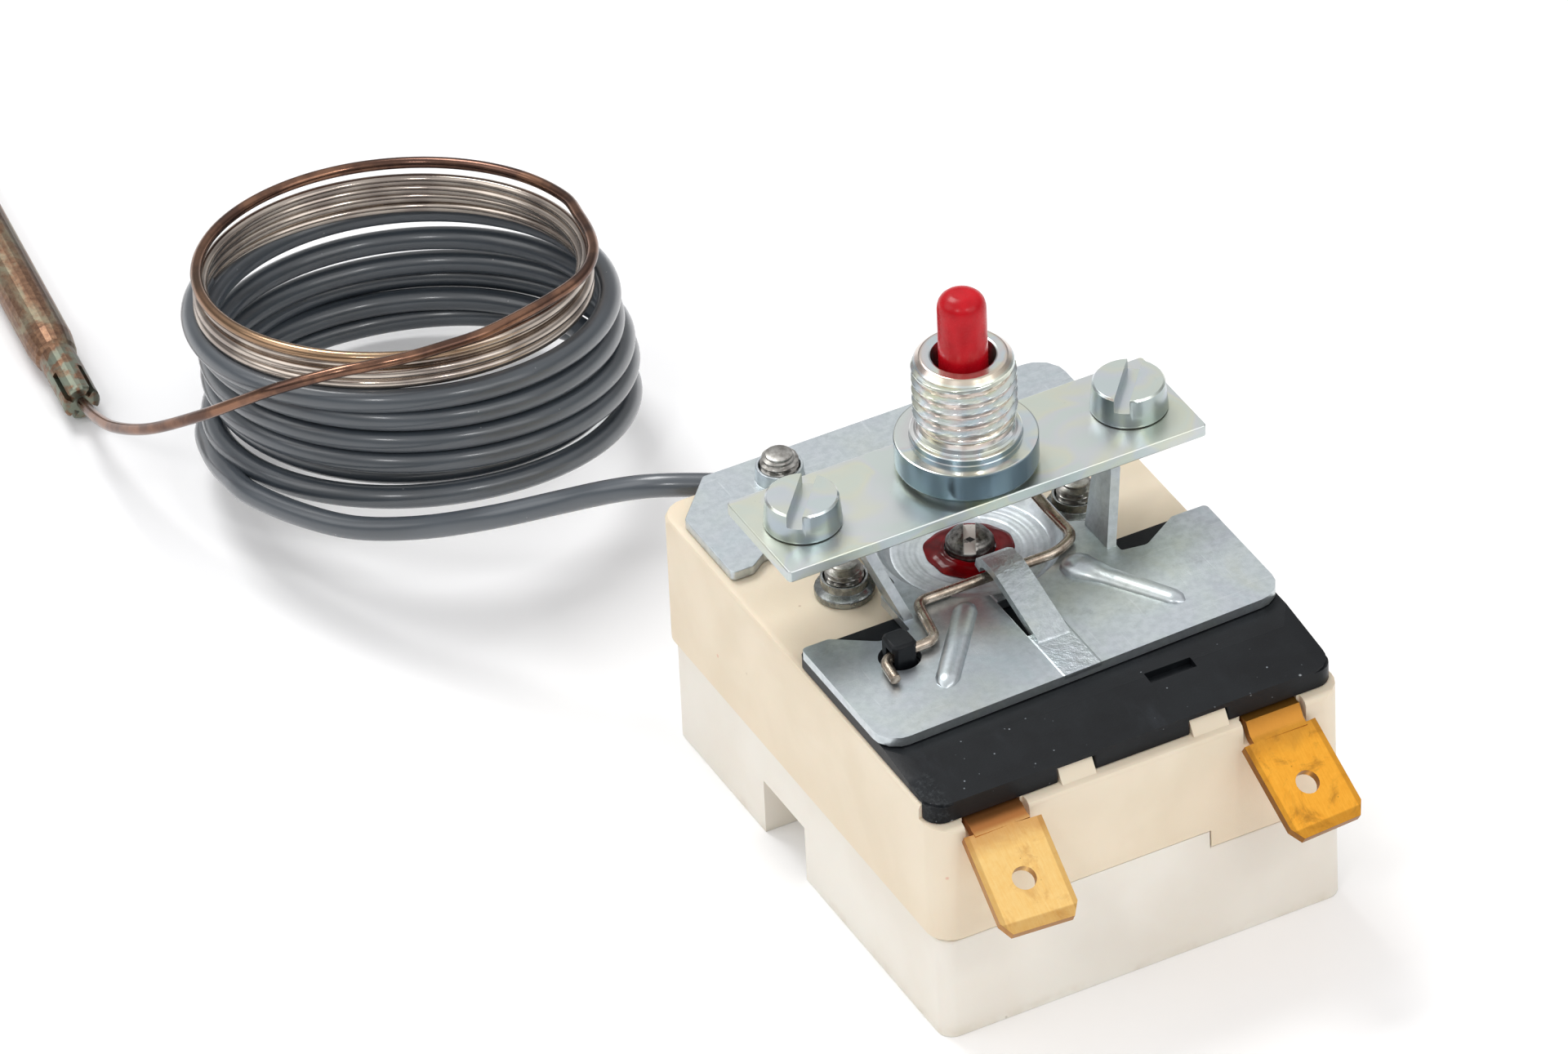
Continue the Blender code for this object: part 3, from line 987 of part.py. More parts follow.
def diaphragm():
    mid = (CAPSULE_LOW + CAPSULE_TOP) / 2.0
    boss = 0.46 * CAPSULE
    step = 0.52 * CAPSULE
    profile = [(0.0, CAPSULE_TOP), (boss, CAPSULE_TOP), (step, CAPSULE_TOP - 0.3 * MM),
               (CAPSULE, mid + 0.4 * MM), (CAPSULE, mid - 0.4 * MM), (step, CAPSULE_LOW + 0.3 * MM),
               (boss, CAPSULE_LOW), (0.0, CAPSULE_LOW)]
    capsule = turned("diaphragm_capsule", profile)
    paint(capsule, NICKEL, 0.95, 0.3)
    low = SPRING_TOP + SEAT
    pin = turned("thrust_pin", [(0.0, CAPSULE_LOW - SEAT), (THRUST_PIN, CAPSULE_LOW - SEAT),
                                (THRUST_PIN, low + 0.3 * MM), (THRUST_PIN - 0.3 * MM, low), (0.0, low)],
                 (0.0, 0.0, 0.0), 20)
    centre_on(pin, (0.0, 0.0, low))
    paint(pin, CERAMIC, 0.0, 0.5)


def coil_ring(name, size, colour, metallic, roughness):
    inner, outer, low, high = size
    soft = 0.3 * MM
    profile = [(inner + soft, high), (outer - soft, high), (outer, high - soft), (outer, low + soft),
               (outer - soft, low), (inner + soft, low), (inner, low + soft), (inner, high - soft)]
    body = turned(name, profile, (0.0, 0.0, 0.0), FINE_ROUND, True)
    tilt = Vector((0.0, 0.0, 1.0)).rotation_difference(Vector(COIL_AXIS).normalized())
    body.rotation_mode = 'QUATERNION'
    body.rotation_quaternion = tilt
    body.location = COIL_CENTRE
    paint(body, colour, metallic, roughness)


def cords():
    feed = tube("capillary_feed", smooth(FEED_PATH, 4), CAPILLARY)
    paint(feed, NICKEL, 0.95, 0.3)
    lead = tube("sleeve_lead", smooth([*SLEEVE_START, *from_back(SLEEVE_RUN)], 4), SLEEVE)
    paint(lead, GREY_SLEEVE, 0.0, 0.35)
    coil_ring("sleeve_coil", SLEEVE_COIL, GREY_SLEEVE, 0.0, 0.35)
    coil_ring("capillary_coil", CAPILLARY_COIL, NICKEL, 0.95, 0.3)
    tail = tube("capillary_tail", smooth(from_back(TAIL_RUN), 4), CAPILLARY)
    paint(tail, COPPER, 0.95, 0.3)


def sensor_bulb():
    # Turned round its own axis, then laid on the floor; four lobes at the crimped neck.
    neck = BULB_NECK_LENGTH
    profile = [(0.0, 0.0), (BULB_NECK - 0.15 * MM, 0.0), (BULB_NECK, -0.15 * MM), (BULB_NECK, -neck),
               (BULB_NECK + 0.2 * MM, -neck - 0.4 * MM), (BULB, -neck - 2.2 * MM),
               (BULB, -BULB_LENGTH + 1.2 * MM), (BULB - 0.3 * MM, -BULB_LENGTH + 0.35 * MM),
               (BULB - 1.0 * MM, -BULB_LENGTH), (0.0, -BULB_LENGTH)]
    body = turned("sensor_bulb", profile, (0.0, 0.0, 0.0), 24)
    lay = Vector((0.0, 0.0, -1.0)).rotation_difference(Vector(BULB_DIRECTION).normalized())
    body.rotation_mode = 'QUATERNION'
    body.rotation_quaternion = lay
    body.location = BULB_START
    for i in range(4):
        slot = box("crimp_slot_%d" % (i + 1), (0.75 * MM, -0.22 * MM, -3.4 * MM), (3.0 * MM, 0.22 * MM, MM), True)
        slot.rotation_mode = 'QUATERNION'
        spin = Matrix.Rotation(math.radians(45.0 + 90.0 * i), 4, 'Z').to_quaternion()
        slot.rotation_quaternion = lay @ spin
        slot.location = BULB_START
        cut(body, slot)
    paint(body, COPPER, 0.9, 0.35)


lower_base()
upper_housing()
front_cover()
front_plate()
rear_plate()
bridge_plate()
threaded_bushing()
reset_button()
reset_lever()
reset_plunger()
calibration_screw()
mirrored("mounting_screw", mounting_screw)
mirrored("housing_screw_mid", lambda name, side: housing_screw(
    name, side * MID_SCREW_X, MID_SCREW_Y, MID_SCREW_TOP, MID_HEAD, MID_HEAD_LOW, MID_HEAD_TOP))
mirrored("housing_screw_rear", lambda name, side: housing_screw(
    name, side * REAR_SCREW_X, REAR_SCREW_Y, REAR_SCREW_TOP, REAR_HEAD, REAR_HEAD_LOW, REAR_HEAD_TOP))
mirrored("eyelet", eyelet)
terminal("terminal_left", TAB_LEFT, TAB_LEFT_TURN, LEFT_STRIP_Z, CONTACT_Y + 2.0 * MM)
terminal("terminal_right", TAB_RIGHT, TAB_RIGHT_TURN, RIGHT_STRIP_Z, RIVET_Y + 2.3 * MM)
contacts()
diaphragm()
cords()
sensor_bulb()
bpy.context.view_layer.update()
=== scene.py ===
import math

import bmesh
import bpy
import numpy
from mathutils import Matrix, Vector


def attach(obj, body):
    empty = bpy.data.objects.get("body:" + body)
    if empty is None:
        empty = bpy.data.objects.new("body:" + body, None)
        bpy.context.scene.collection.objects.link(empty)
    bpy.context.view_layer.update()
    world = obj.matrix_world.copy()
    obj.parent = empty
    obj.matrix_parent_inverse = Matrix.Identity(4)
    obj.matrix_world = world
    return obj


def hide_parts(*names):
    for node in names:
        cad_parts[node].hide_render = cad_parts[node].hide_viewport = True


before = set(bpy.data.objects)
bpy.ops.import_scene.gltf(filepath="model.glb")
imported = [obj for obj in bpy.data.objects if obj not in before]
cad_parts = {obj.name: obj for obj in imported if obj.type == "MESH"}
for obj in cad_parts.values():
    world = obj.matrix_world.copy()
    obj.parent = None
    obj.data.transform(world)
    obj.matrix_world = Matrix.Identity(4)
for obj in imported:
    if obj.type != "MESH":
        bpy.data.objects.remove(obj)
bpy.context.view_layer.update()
print("frame loaded,", len(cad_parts), "nodes")

mm = 0.001
mainBody = "thermostat_body"


# camera: angles in degrees, lens and sensor in millimetres, the rest in metres
view = {"azimuth": 26.25, "elevation": 37.533, "roll": -2.722, "lens": 262.825, "sensor": 36.0,
        "place": (-0.316237, -0.609608, 0.552646), "near": 0.02, "far": 20.0}


def aimCamera():
    azimuth, elevation, roll = (math.radians(view[key]) for key in ("azimuth", "elevation", "roll"))
    ahead = Vector((math.sin(azimuth) * math.cos(elevation), math.cos(azimuth) * math.cos(elevation),
                    -math.sin(elevation)))
    level = Vector((math.cos(azimuth), -math.sin(azimuth), 0.0))
    upright = level.cross(ahead)
    right = math.cos(roll) * level + math.sin(roll) * upright
    up = -math.sin(roll) * level + math.cos(roll) * upright
    data = bpy.data.cameras.new("camera")
    data.sensor_width = view["sensor"]
    data.lens = view["lens"]
    data.clip_start = view["near"]
    data.clip_end = view["far"]
    camera = bpy.data.objects.new("camera", data)
    bpy.context.scene.collection.objects.link(camera)
    turn = Matrix((right, up, -ahead)).transposed().to_4x4()
    camera.matrix_world = Matrix.Translation(Vector(view["place"])) @ turn
    bpy.context.scene.camera = camera
    return right, ahead


viewRight, viewAhead = aimCamera()
bpy.context.scene.view_settings.view_transform = 'Standard'


# shader maths: a socket that works in plain sums and products
class field:
    def __init__(self, skin, socket):
        self.skin = skin
        self.socket = socket

    def calc(self, operation, *values):
        return self.skin.node('Math', {"operation": operation}, dict(enumerate(values)))

    def __add__(self, other):
        return self.calc('ADD', self, other)

    def __radd__(self, other):
        return self.calc('ADD', other, self)

    def __sub__(self, other):
        return self.calc('SUBTRACT', self, other)

    def __rsub__(self, other):
        return self.calc('SUBTRACT', other, self)

    def __mul__(self, other):
        return self.calc('MULTIPLY', self, other)

    def __rmul__(self, other):
        return self.calc('MULTIPLY', other, self)

    def __pow__(self, other):
        return self.calc('POWER', self, other)

    def __neg__(self):
        return self.calc('MULTIPLY', self, -1.0)

    def size(self):
        return self.calc('ABSOLUTE', self)

    def sine(self):
        return self.calc('SINE', self)

    def least(self, other):
        return self.calc('MINIMUM', self, other)

    def most(self, other):
        return self.calc('MAXIMUM', self, other)


class skin:
    # one material; x, y, z and place are in the part's millimetres
    def __init__(self, name):
        self.material = bpy.data.materials.new(name)
        self.material.use_nodes = True
        self.tree = self.material.node_tree
        self.shader = self.tree.nodes["Principled BSDF"]
        metres = self.node('TexCoord', out="Object")
        self.place = self.node('VectorMath', {"operation": 'SCALE'}, {0: metres, "Scale": 1.0 / mm})
        self.x, self.y, self.z = self.split(self.place)

    def node(self, kind, settings=None, inputs=None, out=0):
        # any node: its type, its settings, then the values or links of its sockets
        made = self.tree.nodes.new('ShaderNode' + kind)
        for key, value in (settings or {}).items():
            if key == "stops":
                ramp = made.color_ramp
                while len(ramp.elements) < len(value):
                    ramp.elements.new(0.5)
                for stop, (where, colour) in zip(ramp.elements, value):
                    stop.position = where
                    stop.color = (*colour, 1.0)
            else:
                setattr(made, key, value)
        for key, value in (inputs or {}).items():
            self.feed(made.inputs[key], value)
        return field(self, made.outputs[out])

    def feed(self, socket, value):
        if isinstance(value, field):
            self.tree.links.new(value.socket, socket)
        elif socket.type == 'RGBA':
            socket.default_value = (*value, 1.0)
        else:
            socket.default_value = value

    def split(self, vector):
        outputs = self.node('SeparateXYZ', {}, {0: vector}).socket.node.outputs
        return [field(self, socket) for socket in outputs]

    def grain(self, scale, detail=2.0, rough=0.5, at=None, warp=0.0):
        # cloud noise; scale is in cycles per millimetre
        return self.node('TexNoise', {}, {"Vector": at or self.place, "Scale": scale, "Detail": detail,
                                          "Roughness": rough, "Distortion": warp})

    def cells(self, scale):
        # distance to the nearest of many scattered points
        return self.node('TexVoronoi', {}, {"Vector": self.place, "Scale": scale})

    def stretch(self, x, y, z, turn=0.0):
        return self.node('Mapping', {}, {"Vector": self.place, "Scale": (x, y, z),
                                         "Rotation": (0.0, 0.0, turn)})

    def band(self, value, low, high):
        # 0 below low, 1 above high, smooth between
        return self.node('MapRange', {"interpolation_type": 'SMOOTHSTEP'},
                         {"Value": value, "From Min": low, "From Max": high})

    def mix(self, amount, first, second):
        made = self.tree.nodes.new('ShaderNodeMix')
        made.data_type = 'RGBA'
        self.feed(made.inputs[0], amount)  # factor and colours of a colour mix: sockets 0, 6 and 7
        self.feed(made.inputs[6], first)
        self.feed(made.inputs[7], second)
        return field(self, made.outputs[2])

    def ramp(self, value, stops):
        return self.node('ValToRGB', {"stops": stops}, {0: value})

    def facing(self):
        return self.split(self.node('NewGeometry', out="Normal"))

    def fromAxis(self):
        return (self.x * self.x + self.y * self.y) ** 0.5

    def bump(self, height, strength, reach):
        normal = self.node('Bump', {}, {"Height": height, "Strength": strength, "Distance": reach})
        self.feed(self.shader.inputs["Normal"], normal)

    def set(self, **values):
        names = {"colour": "Base Color", "rough": "Roughness", "metal": "Metallic",
                 "coat": "Coat Weight", "coatRough": "Coat Roughness", "specular": "Specular IOR Level",
                 "subsurface": "Subsurface Weight", "depth": "Subsurface Scale"}
        for key, value in values.items():
            self.feed(self.shader.inputs[names[key]], value)


def tint(code):
    # colour from its six hexadecimal digits, made linear
    parts = [int(code[i:i + 2], 16) / 255.0 for i in (0, 2, 4)]
    return tuple(p / 12.92 if p <= 0.04045 else ((p + 0.055) / 1.055) ** 2.4 for p in parts)


def tints(**codes):
    return {name: tint(code) for name, code in codes.items()}


# lamps: metres to the right of the view, level along it and up; size in metres, power in watts
lamps = {"left": {"side": -0.8, "toward": -0.1, "height": 0.65, "size": 0.6, "power": 1.4},
         "right": {"side": 0.7, "toward": -0.5, "height": 0.6, "size": 0.6, "power": 1.5},
         "back": {"side": -0.35, "toward": 0.5, "height": 0.95, "size": 0.4, "power": 5.2},
         "frontLeft": {"side": -0.32, "toward": -0.72, "height": 0.8, "size": 0.12, "power": 1.1},
         "frontRight": {"side": 0.42, "toward": -0.66, "height": 0.85, "size": 0.1, "power": 0.9}}
lampAim = (-0.005, 0.015, 0.01)


def addLamps():
    middle = Vector(lampAim)
    flatAhead = Vector((viewAhead.x, viewAhead.y, 0.0)).normalized()
    for name, lamp in lamps.items():
        data = bpy.data.lights.new(name + "Lamp", 'AREA')
        data.size = lamp["size"]
        data.energy = lamp["power"]
        made = bpy.data.objects.new(name + "Lamp", data)
        made.location = middle + viewRight * lamp["side"] + flatAhead * lamp["toward"]
        made.location.z = lamp["height"]
        made.rotation_euler = (middle - made.location).to_track_quat('-Z', 'Y').to_euler()
        bpy.context.scene.collection.objects.link(made)


# world: grey levels from the horizon to overhead, a dark band between two bright ones for reflections
sky = {"strength": 0.9, "blue": 1.01,
       "levels": ((0.0, 0.9), (0.1, 0.75), (0.22, 0.3), (0.42, 0.42), (0.62, 0.97), (0.95, 0.9))}


def addWorld():
    world = bpy.data.worlds.new("studio")
    bpy.context.scene.world = world
    world.use_nodes = True
    nodes = world.node_tree.nodes
    links = world.node_tree.links
    coords = nodes.new('ShaderNodeTexCoord')
    split = nodes.new('ShaderNodeSeparateXYZ')
    ramp = nodes.new('ShaderNodeValToRGB')
    links.new(coords.outputs["Generated"], split.inputs[0])
    links.new(split.outputs[2], ramp.inputs[0])
    stops = ramp.color_ramp.elements
    while len(stops) < len(sky["levels"]):
        stops.new(0.5)
    for stop, (where, level) in zip(stops, sky["levels"]):
        stop.position = where
        stop.color = (level, level, level * sky["blue"], 1.0)
    links.new(ramp.outputs[0], nodes["Background"].inputs[0])
    nodes["Background"].inputs[1].default_value = sky["strength"]


# floor: metres; it lies a hair below the part's flat underside
paperFloor = {"half": 3.0, "drop": 0.00002, "dull": (0.93, 0.93, 0.935), "bright": (0.96, 0.96, 0.96)}


def addFloor():
    paper = skin("floorPaper")
    cloud = paper.band(paper.grain(0.02), 0.3, 0.7)
    paper.set(colour=paper.mix(cloud, paperFloor["dull"], paperFloor["bright"]), rough=0.75, specular=0.2)
    mesh = bpy.data.meshes.new("floor")
    half = paperFloor["half"]
    corners = [(-half, -half, 0), (half, -half, 0), (half, half, 0), (-half, half, 0)]
    mesh.from_pydata(corners, [], [(0, 1, 2, 3)])
    floor = bpy.data.objects.new("floor", mesh)
    floor.location.z = -paperFloor["drop"]
    mesh.materials.append(paper.material)
    bpy.context.scene.collection.objects.link(floor)


addLamps()
addWorld()
addFloor()
print("camera, lamps and floor made")


# surfaces
def gridMesh(name, points, closeRows=False, along=None):
    # points is rows x columns x 3; neighbours are joined by quads, columns wrap, rows where asked
    rows, columns = points.shape[:2]
    index = numpy.arange(rows * columns).reshape(rows, columns)
    index = numpy.hstack([index, index[:, :1]])
    if closeRows:
        index = numpy.vstack([index, index[:1]])
    quads = numpy.stack([index[:-1, :-1], index[:-1, 1:], index[1:, 1:], index[1:, :-1]], axis=-1)
    mesh = bpy.data.meshes.new(name)
    mesh.from_pydata(points.reshape(-1, 3).tolist(), [], quads.reshape(-1, 4).tolist())
    if along is not None:
        layer = mesh.uv_layers.new(name="run")
        corner = numpy.zeros(len(mesh.loops), dtype=numpy.int32)
        mesh.loops.foreach_get("vertex_index", corner)
        around = (corner % columns) / columns
        run = numpy.stack([around, numpy.repeat(along, columns)[corner]], axis=-1)
        layer.data.foreach_set("uv", run.astype(numpy.float32).ravel())
    return mesh


def seal(mesh, sharp, merge=4e-7):
    # merges poles and seams, closes open ends, turns faces outwards, smooths all but sharp edges
    shape = bmesh.new()
    shape.from_mesh(mesh)
    bmesh.ops.remove_doubles(shape, verts=shape.verts, dist=merge)
    openEdges = [edge for edge in shape.edges if edge.is_boundary]
    if openEdges:
        bmesh.ops.holes_fill(shape, edges=openEdges, sides=0)
    bmesh.ops.recalc_face_normals(shape, faces=shape.faces)
    shape.to_mesh(mesh)
    shape.free()
    smoothed(mesh, sharp)
    return mesh


def smoothed(mesh, sharp):
    mesh.polygons.foreach_set("use_smooth", [True] * len(mesh.polygons))
    mesh.set_sharp_from_angle(angle=math.radians(sharp))


def addPiece(name, mesh, surface, nodes, body=mainBody):
    piece = bpy.data.objects.new(name, mesh)
    bpy.context.scene.collection.objects.link(piece)
    mesh.materials.clear()
    mesh.materials.append(surface.material)
    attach(piece, body)
    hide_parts(*nodes)
    return piece


def turnedMesh(name, profile, steps):
    # point(i, a) = (r_i cos a, r_i sin a, z_i), profile in millimetres
    profile = numpy.array(profile) * mm
    turn = numpy.linspace(0.0, 2.0 * math.pi, steps, endpoint=False)
    x = profile[:, :1] * numpy.cos(turn)
    y = profile[:, :1] * numpy.sin(turn)
    z = numpy.repeat(profile[:, 1:], steps, axis=1)
    return gridMesh(name, numpy.stack([x, y, z], axis=-1))


def tubeMesh(name, path, radius, sides):
    # point(i, a) = path_i + radius_i (cos a side_i + sin a over_i), both axes square to the path
    path = numpy.asarray(path)
    forward = numpy.gradient(path, axis=0)
    forward /= numpy.linalg.norm(forward, axis=1, keepdims=True)
    side = numpy.cross(forward, numpy.array([0.11, 0.17, 0.98]))  # a direction that no cord follows
    side /= numpy.linalg.norm(side, axis=1, keepdims=True)
    over = numpy.cross(side, forward)
    turn = numpy.linspace(0.0, 2.0 * math.pi, sides, endpoint=False)
    wide = numpy.broadcast_to(numpy.asarray(radius), (len(path),))[:, None, None]
    points = path[:, None] + wide * (numpy.cos(turn)[None, :, None] * side[:, None]
                                     + numpy.sin(turn)[None, :, None] * over[:, None])
    gone = distances(path)
    return gridMesh(name, points, along=gone / gone[-1]), float(gone[-1])


def distances(path):
    # way gone along the path at each of its points
    steps = numpy.linalg.norm(numpy.diff(path, axis=0), axis=1)
    return numpy.concatenate([[0.0], numpy.cumsum(steps)])


def smoothPath(points, spacing, perSpan=24):
    # Catmull-Rom: q(t) = (2b + (c - a)t + (2a - 5b + 4c - d)t^2 + (3b - a - 3c + d)t^3) / 2, evened out
    points = numpy.asarray(points, dtype=float)
    ends = numpy.vstack([2 * points[0] - points[1], points, 2 * points[-1] - points[-2]])
    a, b, c, d = (ends[i:len(ends) - 3 + i, None] for i in range(4))
    t = numpy.linspace(0.0, 1.0, perSpan, endpoint=False)[None, :, None]
    run = 0.5 * (2 * b + (c - a) * t + (2 * a - 5 * b + 4 * c - d) * t ** 2
                 + (3 * b - a - 3 * c + d) * t ** 3)
    run = numpy.vstack([run.reshape(-1, 3), points[-1]])
    gone = distances(run)
    even = numpy.linspace(0.0, gone[-1], int(gone[-1] / spacing))
    return numpy.stack([numpy.interp(even, gone, run[:, i]) for i in range(3)], axis=-1)


# merging a solid's loose triangles: metres, then degrees up to which faces count as one plane,
# and from which an edge is rounded
solid = {"merge": 2e-6, "flat": 0.8, "rounded": 40.0}


def dress(node, name, slot, surface, edge, steps=2, sharp=38.0, body=mainBody):
    # a merged copy of the solid's mesh with its flat faces joined and its edges rounded by edge mm
    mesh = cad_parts[node].data.copy()
    mesh.name = name
    shape = bmesh.new()
    shape.from_mesh(mesh)
    bmesh.ops.remove_doubles(shape, verts=shape.verts, dist=solid["merge"])
    bmesh.ops.dissolve_limit(shape, angle_limit=math.radians(solid["flat"]), verts=shape.verts,
                             edges=shape.edges)
    shape.to_mesh(mesh)
    shape.free()
    smoothed(mesh, sharp)
    helper = bpy.data.objects.new(name + "Edges", mesh)
    bpy.context.scene.collection.objects.link(helper)
    bevel = helper.modifiers.new("edges", 'BEVEL')
    bevel.width = edge * mm
    bevel.segments = steps
    bevel.limit_method = 'ANGLE'
    bevel.angle_limit = math.radians(solid["rounded"])
    bevel.use_clamp_overlap = True
    weigh = helper.modifiers.new("weigh", 'WEIGHTED_NORMAL')
    weigh.keep_sharp = True
    bpy.context.view_layer.update()
    depsgraph = bpy.context.evaluated_depsgraph_get()
    mesh = bpy.data.meshes.new_from_object(helper.evaluated_get(depsgraph))
    mesh.name = name
    bpy.data.objects.remove(helper, do_unlink=True)
    return addPiece(name, mesh, surface, (node,), body)


# finishes: tones first, then how they lie; limits on x, y and z are places on the part in millimetres
ceramicTones = tints(light="EAE5DB", shade="E4DDD1", foot="CFC3B0", speck="A99F8F")


def ceramicSkin():
    m = skin("ceramicWhite")
    cloud = m.grain(0.08, 3.0)
    fine = m.grain(2.4, 4.0, 0.6)
    speck = m.band(m.cells(0.42), 0.07, 0.02) * m.band(m.grain(0.3, 1.0), 0.55, 0.6)
    foot = m.band(m.z, 1.2, 0.0) * m.band(m.grain(0.6), 0.4, 0.8)
    colour = m.mix(m.band(cloud, 0.35, 0.65), ceramicTones["light"], ceramicTones["shade"])
    colour = m.mix(foot * 0.5, colour, ceramicTones["foot"])
    colour = m.mix(speck * 0.55, colour, ceramicTones["speck"])
    m.set(colour=colour, rough=0.5 + 0.16 * fine, specular=0.45, subsurface=0.06, depth=0.0012)
    m.bump(fine * 0.7 + m.grain(9.0, 2.0) * 0.3, 0.25, 0.00006)
    return m


creamTones = tints(light="E8DAC3", shade="E0D1B8", low="E2D0B5", speck="9E7A5A", pink="D98A6E")


def creamSkin():
    m = skin("creamMoulding")
    cloud = m.grain(0.11, 3.0, warp=0.4)
    fine = m.grain(3.2, 4.0, 0.62)
    colour = m.mix(m.band(cloud, 0.3, 0.7), creamTones["light"], creamTones["shade"])
    colour = m.mix(m.band(m.z, 14.0, 9.0) * 0.35, colour, creamTones["low"])
    speck = m.band(m.cells(0.33), 0.06, 0.02) * m.band(m.grain(0.21, 1.0), 0.56, 0.6)
    colour = m.mix(speck * 0.6, colour, creamTones["speck"])
    pink = m.band(m.cells(0.16), 0.035, 0.015) * m.band(m.grain(0.17, 0.0), 0.5, 0.52)
    colour = m.mix(pink * 0.5, colour, creamTones["pink"])
    m.set(colour=colour, rough=0.44 + 0.2 * fine, specular=0.42, subsurface=0.08, depth=0.0012)
    m.bump(fine * 0.6 + m.grain(11.0, 2.0) * 0.4, 0.3, 0.00005)
    return m


blackTones = tints(deep="0E1013", light="15181B", smear="3B4047", dust="8F969C", fluff="A4A9AC", raw="54585A")


def blackSkin(name, dusty):
    m = skin(name)
    cloud = m.grain(0.3, 3.0)
    fine = m.grain(6.0, 3.0)
    dust = m.band(m.cells(1.6), 0.16, 0.06) * m.band(m.grain(0.9, 1.0), 0.60, 0.66)
    smear = m.band(m.grain(0.22, 4.0, 0.7, m.stretch(1.0, 0.35, 1.0, 0.35)), 0.55, 0.8)
    colour = m.mix(m.band(cloud, 0.3, 0.7), blackTones["deep"], blackTones["light"])
    colour = m.mix(smear * 0.25 * dusty, colour, blackTones["smear"])
    colour = m.mix(dust * 0.75 * dusty, colour, blackTones["dust"])
    fluff = m.band(m.cells(0.62), 0.10, 0.05) * m.band(m.grain(0.4, 1.0), 0.55, 0.6)
    colour = m.mix(fluff * 0.6 * dusty, colour, blackTones["fluff"])
    # rough unfinished patch at the left front corner
    patch = m.band(m.x, -15.2, -16.0) * m.band(m.y, -21.6, -22.4) * m.band(m.z, 6.0, 7.0) * dusty
    coarse = m.grain(2.2, 5.0, 0.75)
    colour = m.mix(patch * m.band(coarse, 0.45, 0.7) * 0.35, colour, blackTones["raw"])
    m.set(colour=colour, rough=0.34 + 0.12 * fine + 0.1 * smear + 0.2 * patch, specular=0.2)
    m.bump(fine * 0.25 + coarse * patch, 0.3, 0.00012)
    return m


zincTones = tints(light="CCD4D7", shade="B6BFC2", crystal="D6DCDF", scratch="E4E8EA", grime="6F7472",
                  ring="E2E6E7", straw="C8C7A0", pale="BFC6C2", lilac="B4AFC0", blue="A9BBC6")


def zincSkin(name, gold, rings):
    # passivated zinc: crystal mottling, faint gold and lilac film, small scratches
    m = skin(name)
    cloud = m.grain(0.16, 3.0, 0.6, warp=0.6)
    mottle = m.grain(1.5, 4.0, 0.65)
    fine = m.grain(9.0, 3.0)
    colour = m.mix(m.band(mottle, 0.32, 0.68), zincTones["light"], zincTones["shade"])
    colour = m.mix(m.band(m.cells(1.15), 0.15, 0.55) * 0.12, colour, zincTones["crystal"])
    film = m.ramp(cloud, ((0.3, zincTones["straw"]), (0.45, zincTones["pale"]), (0.58, zincTones["lilac"]),
                          (0.7, zincTones["blue"])))
    colour = m.mix(gold, colour, film)
    scratch = m.band(m.grain(0.7, 2.0, 0.5, m.stretch(0.25, 5.0, 1.0, 0.5)), 0.66, 0.72)
    scratch = scratch + m.band(m.grain(0.6, 2.0, 0.5, m.stretch(4.5, 0.3, 1.0, 0.2)), 0.68, 0.73)
    colour = m.mix((scratch * 0.2).least(1.0), colour, zincTones["scratch"])
    # turned rings left in the dish by the press tool
    radius = m.fromAxis()
    turned = (radius * 15.0).sine() * m.band(radius, 3.6, 4.0) * m.band(radius, 7.3, 6.9) * rings
    grime = m.band(m.grain(0.5, 4.0, 0.7), 0.56, 0.75)
    colour = m.mix(grime * 0.3, colour, zincTones["grime"])
    colour = m.mix(m.band(turned, 0.2, 0.9) * 0.15, colour, zincTones["ring"])
    m.set(colour=colour, metal=0.92, rough=0.22 + 0.16 * mottle + 0.06 * fine + 0.1 * grime)
    # crinkled skin on the lanced hook
    hook = m.band(m.z, 22.8, 23.1) * m.band((m.x + 0.35).size(), 1.7, 1.5) * m.band(m.y, -2.0, -3.0) * rings
    crinkle = m.grain(1.3, 4.0, 0.7) * hook
    m.bump(mottle * 0.5 + fine * 0.3 - scratch * 0.15 + turned * 0.22 + crinkle * 11.0, 0.25, 0.00006)
    return m


filmTones = tints(pit="7C807E", wall="667B87", valley="D3B199")


def filmSkin(name, stops, rough, tone, valley, wallReflectionShare):
    # bright zinc with a thin passivation film, whose colour runs in soft bands
    m = skin(name)
    wander = m.grain(0.35, 2.0)
    bands = m.grain(0.22, 1.0, 0.4, m.stretch(1.0, 1.0, 1.7), 0.8)
    film = m.ramp(bands + wander * 0.12, stops)
    fine = m.grain(7.0, 3.0)
    colour = m.mix(0.42, tint(tone), film)
    pits = m.band(m.cells(2.2), 0.12, 0.04) * m.band(m.grain(1.1, 1.0), 0.58, 0.63)
    colour = m.mix(pits * 0.5, colour, filmTones["pit"])
    # painted reflection: the flange's upright walls are darker and bluer, as the dark surroundings they
    # mirror; painted shade: the thread is darker between its crests
    upward = m.facing()[2].size()
    radius = m.fromAxis()
    wall = m.band(upward, 0.75, 0.25) * m.band(radius, 4.1, 4.3)
    colour = m.mix(wall * wallReflectionShare, colour, filmTones["wall"])
    # painted shade in the valleys between the thread's crests
    valleyShadeMask = m.band(radius, 3.75, 3.6) * m.band(radius, 3.0, 3.3) * m.band(m.z, 34.2, 34.6) * valley
    colour = m.mix(valleyShadeMask * 0.45, colour, filmTones["valley"])
    m.set(colour=colour, metal=0.95, rough=rough + 0.05 * fine + 0.08 * wander)
    m.bump(fine * 0.3 + m.grain(2.2, 2.0) * 0.7, 0.05, 0.00005)
    return m


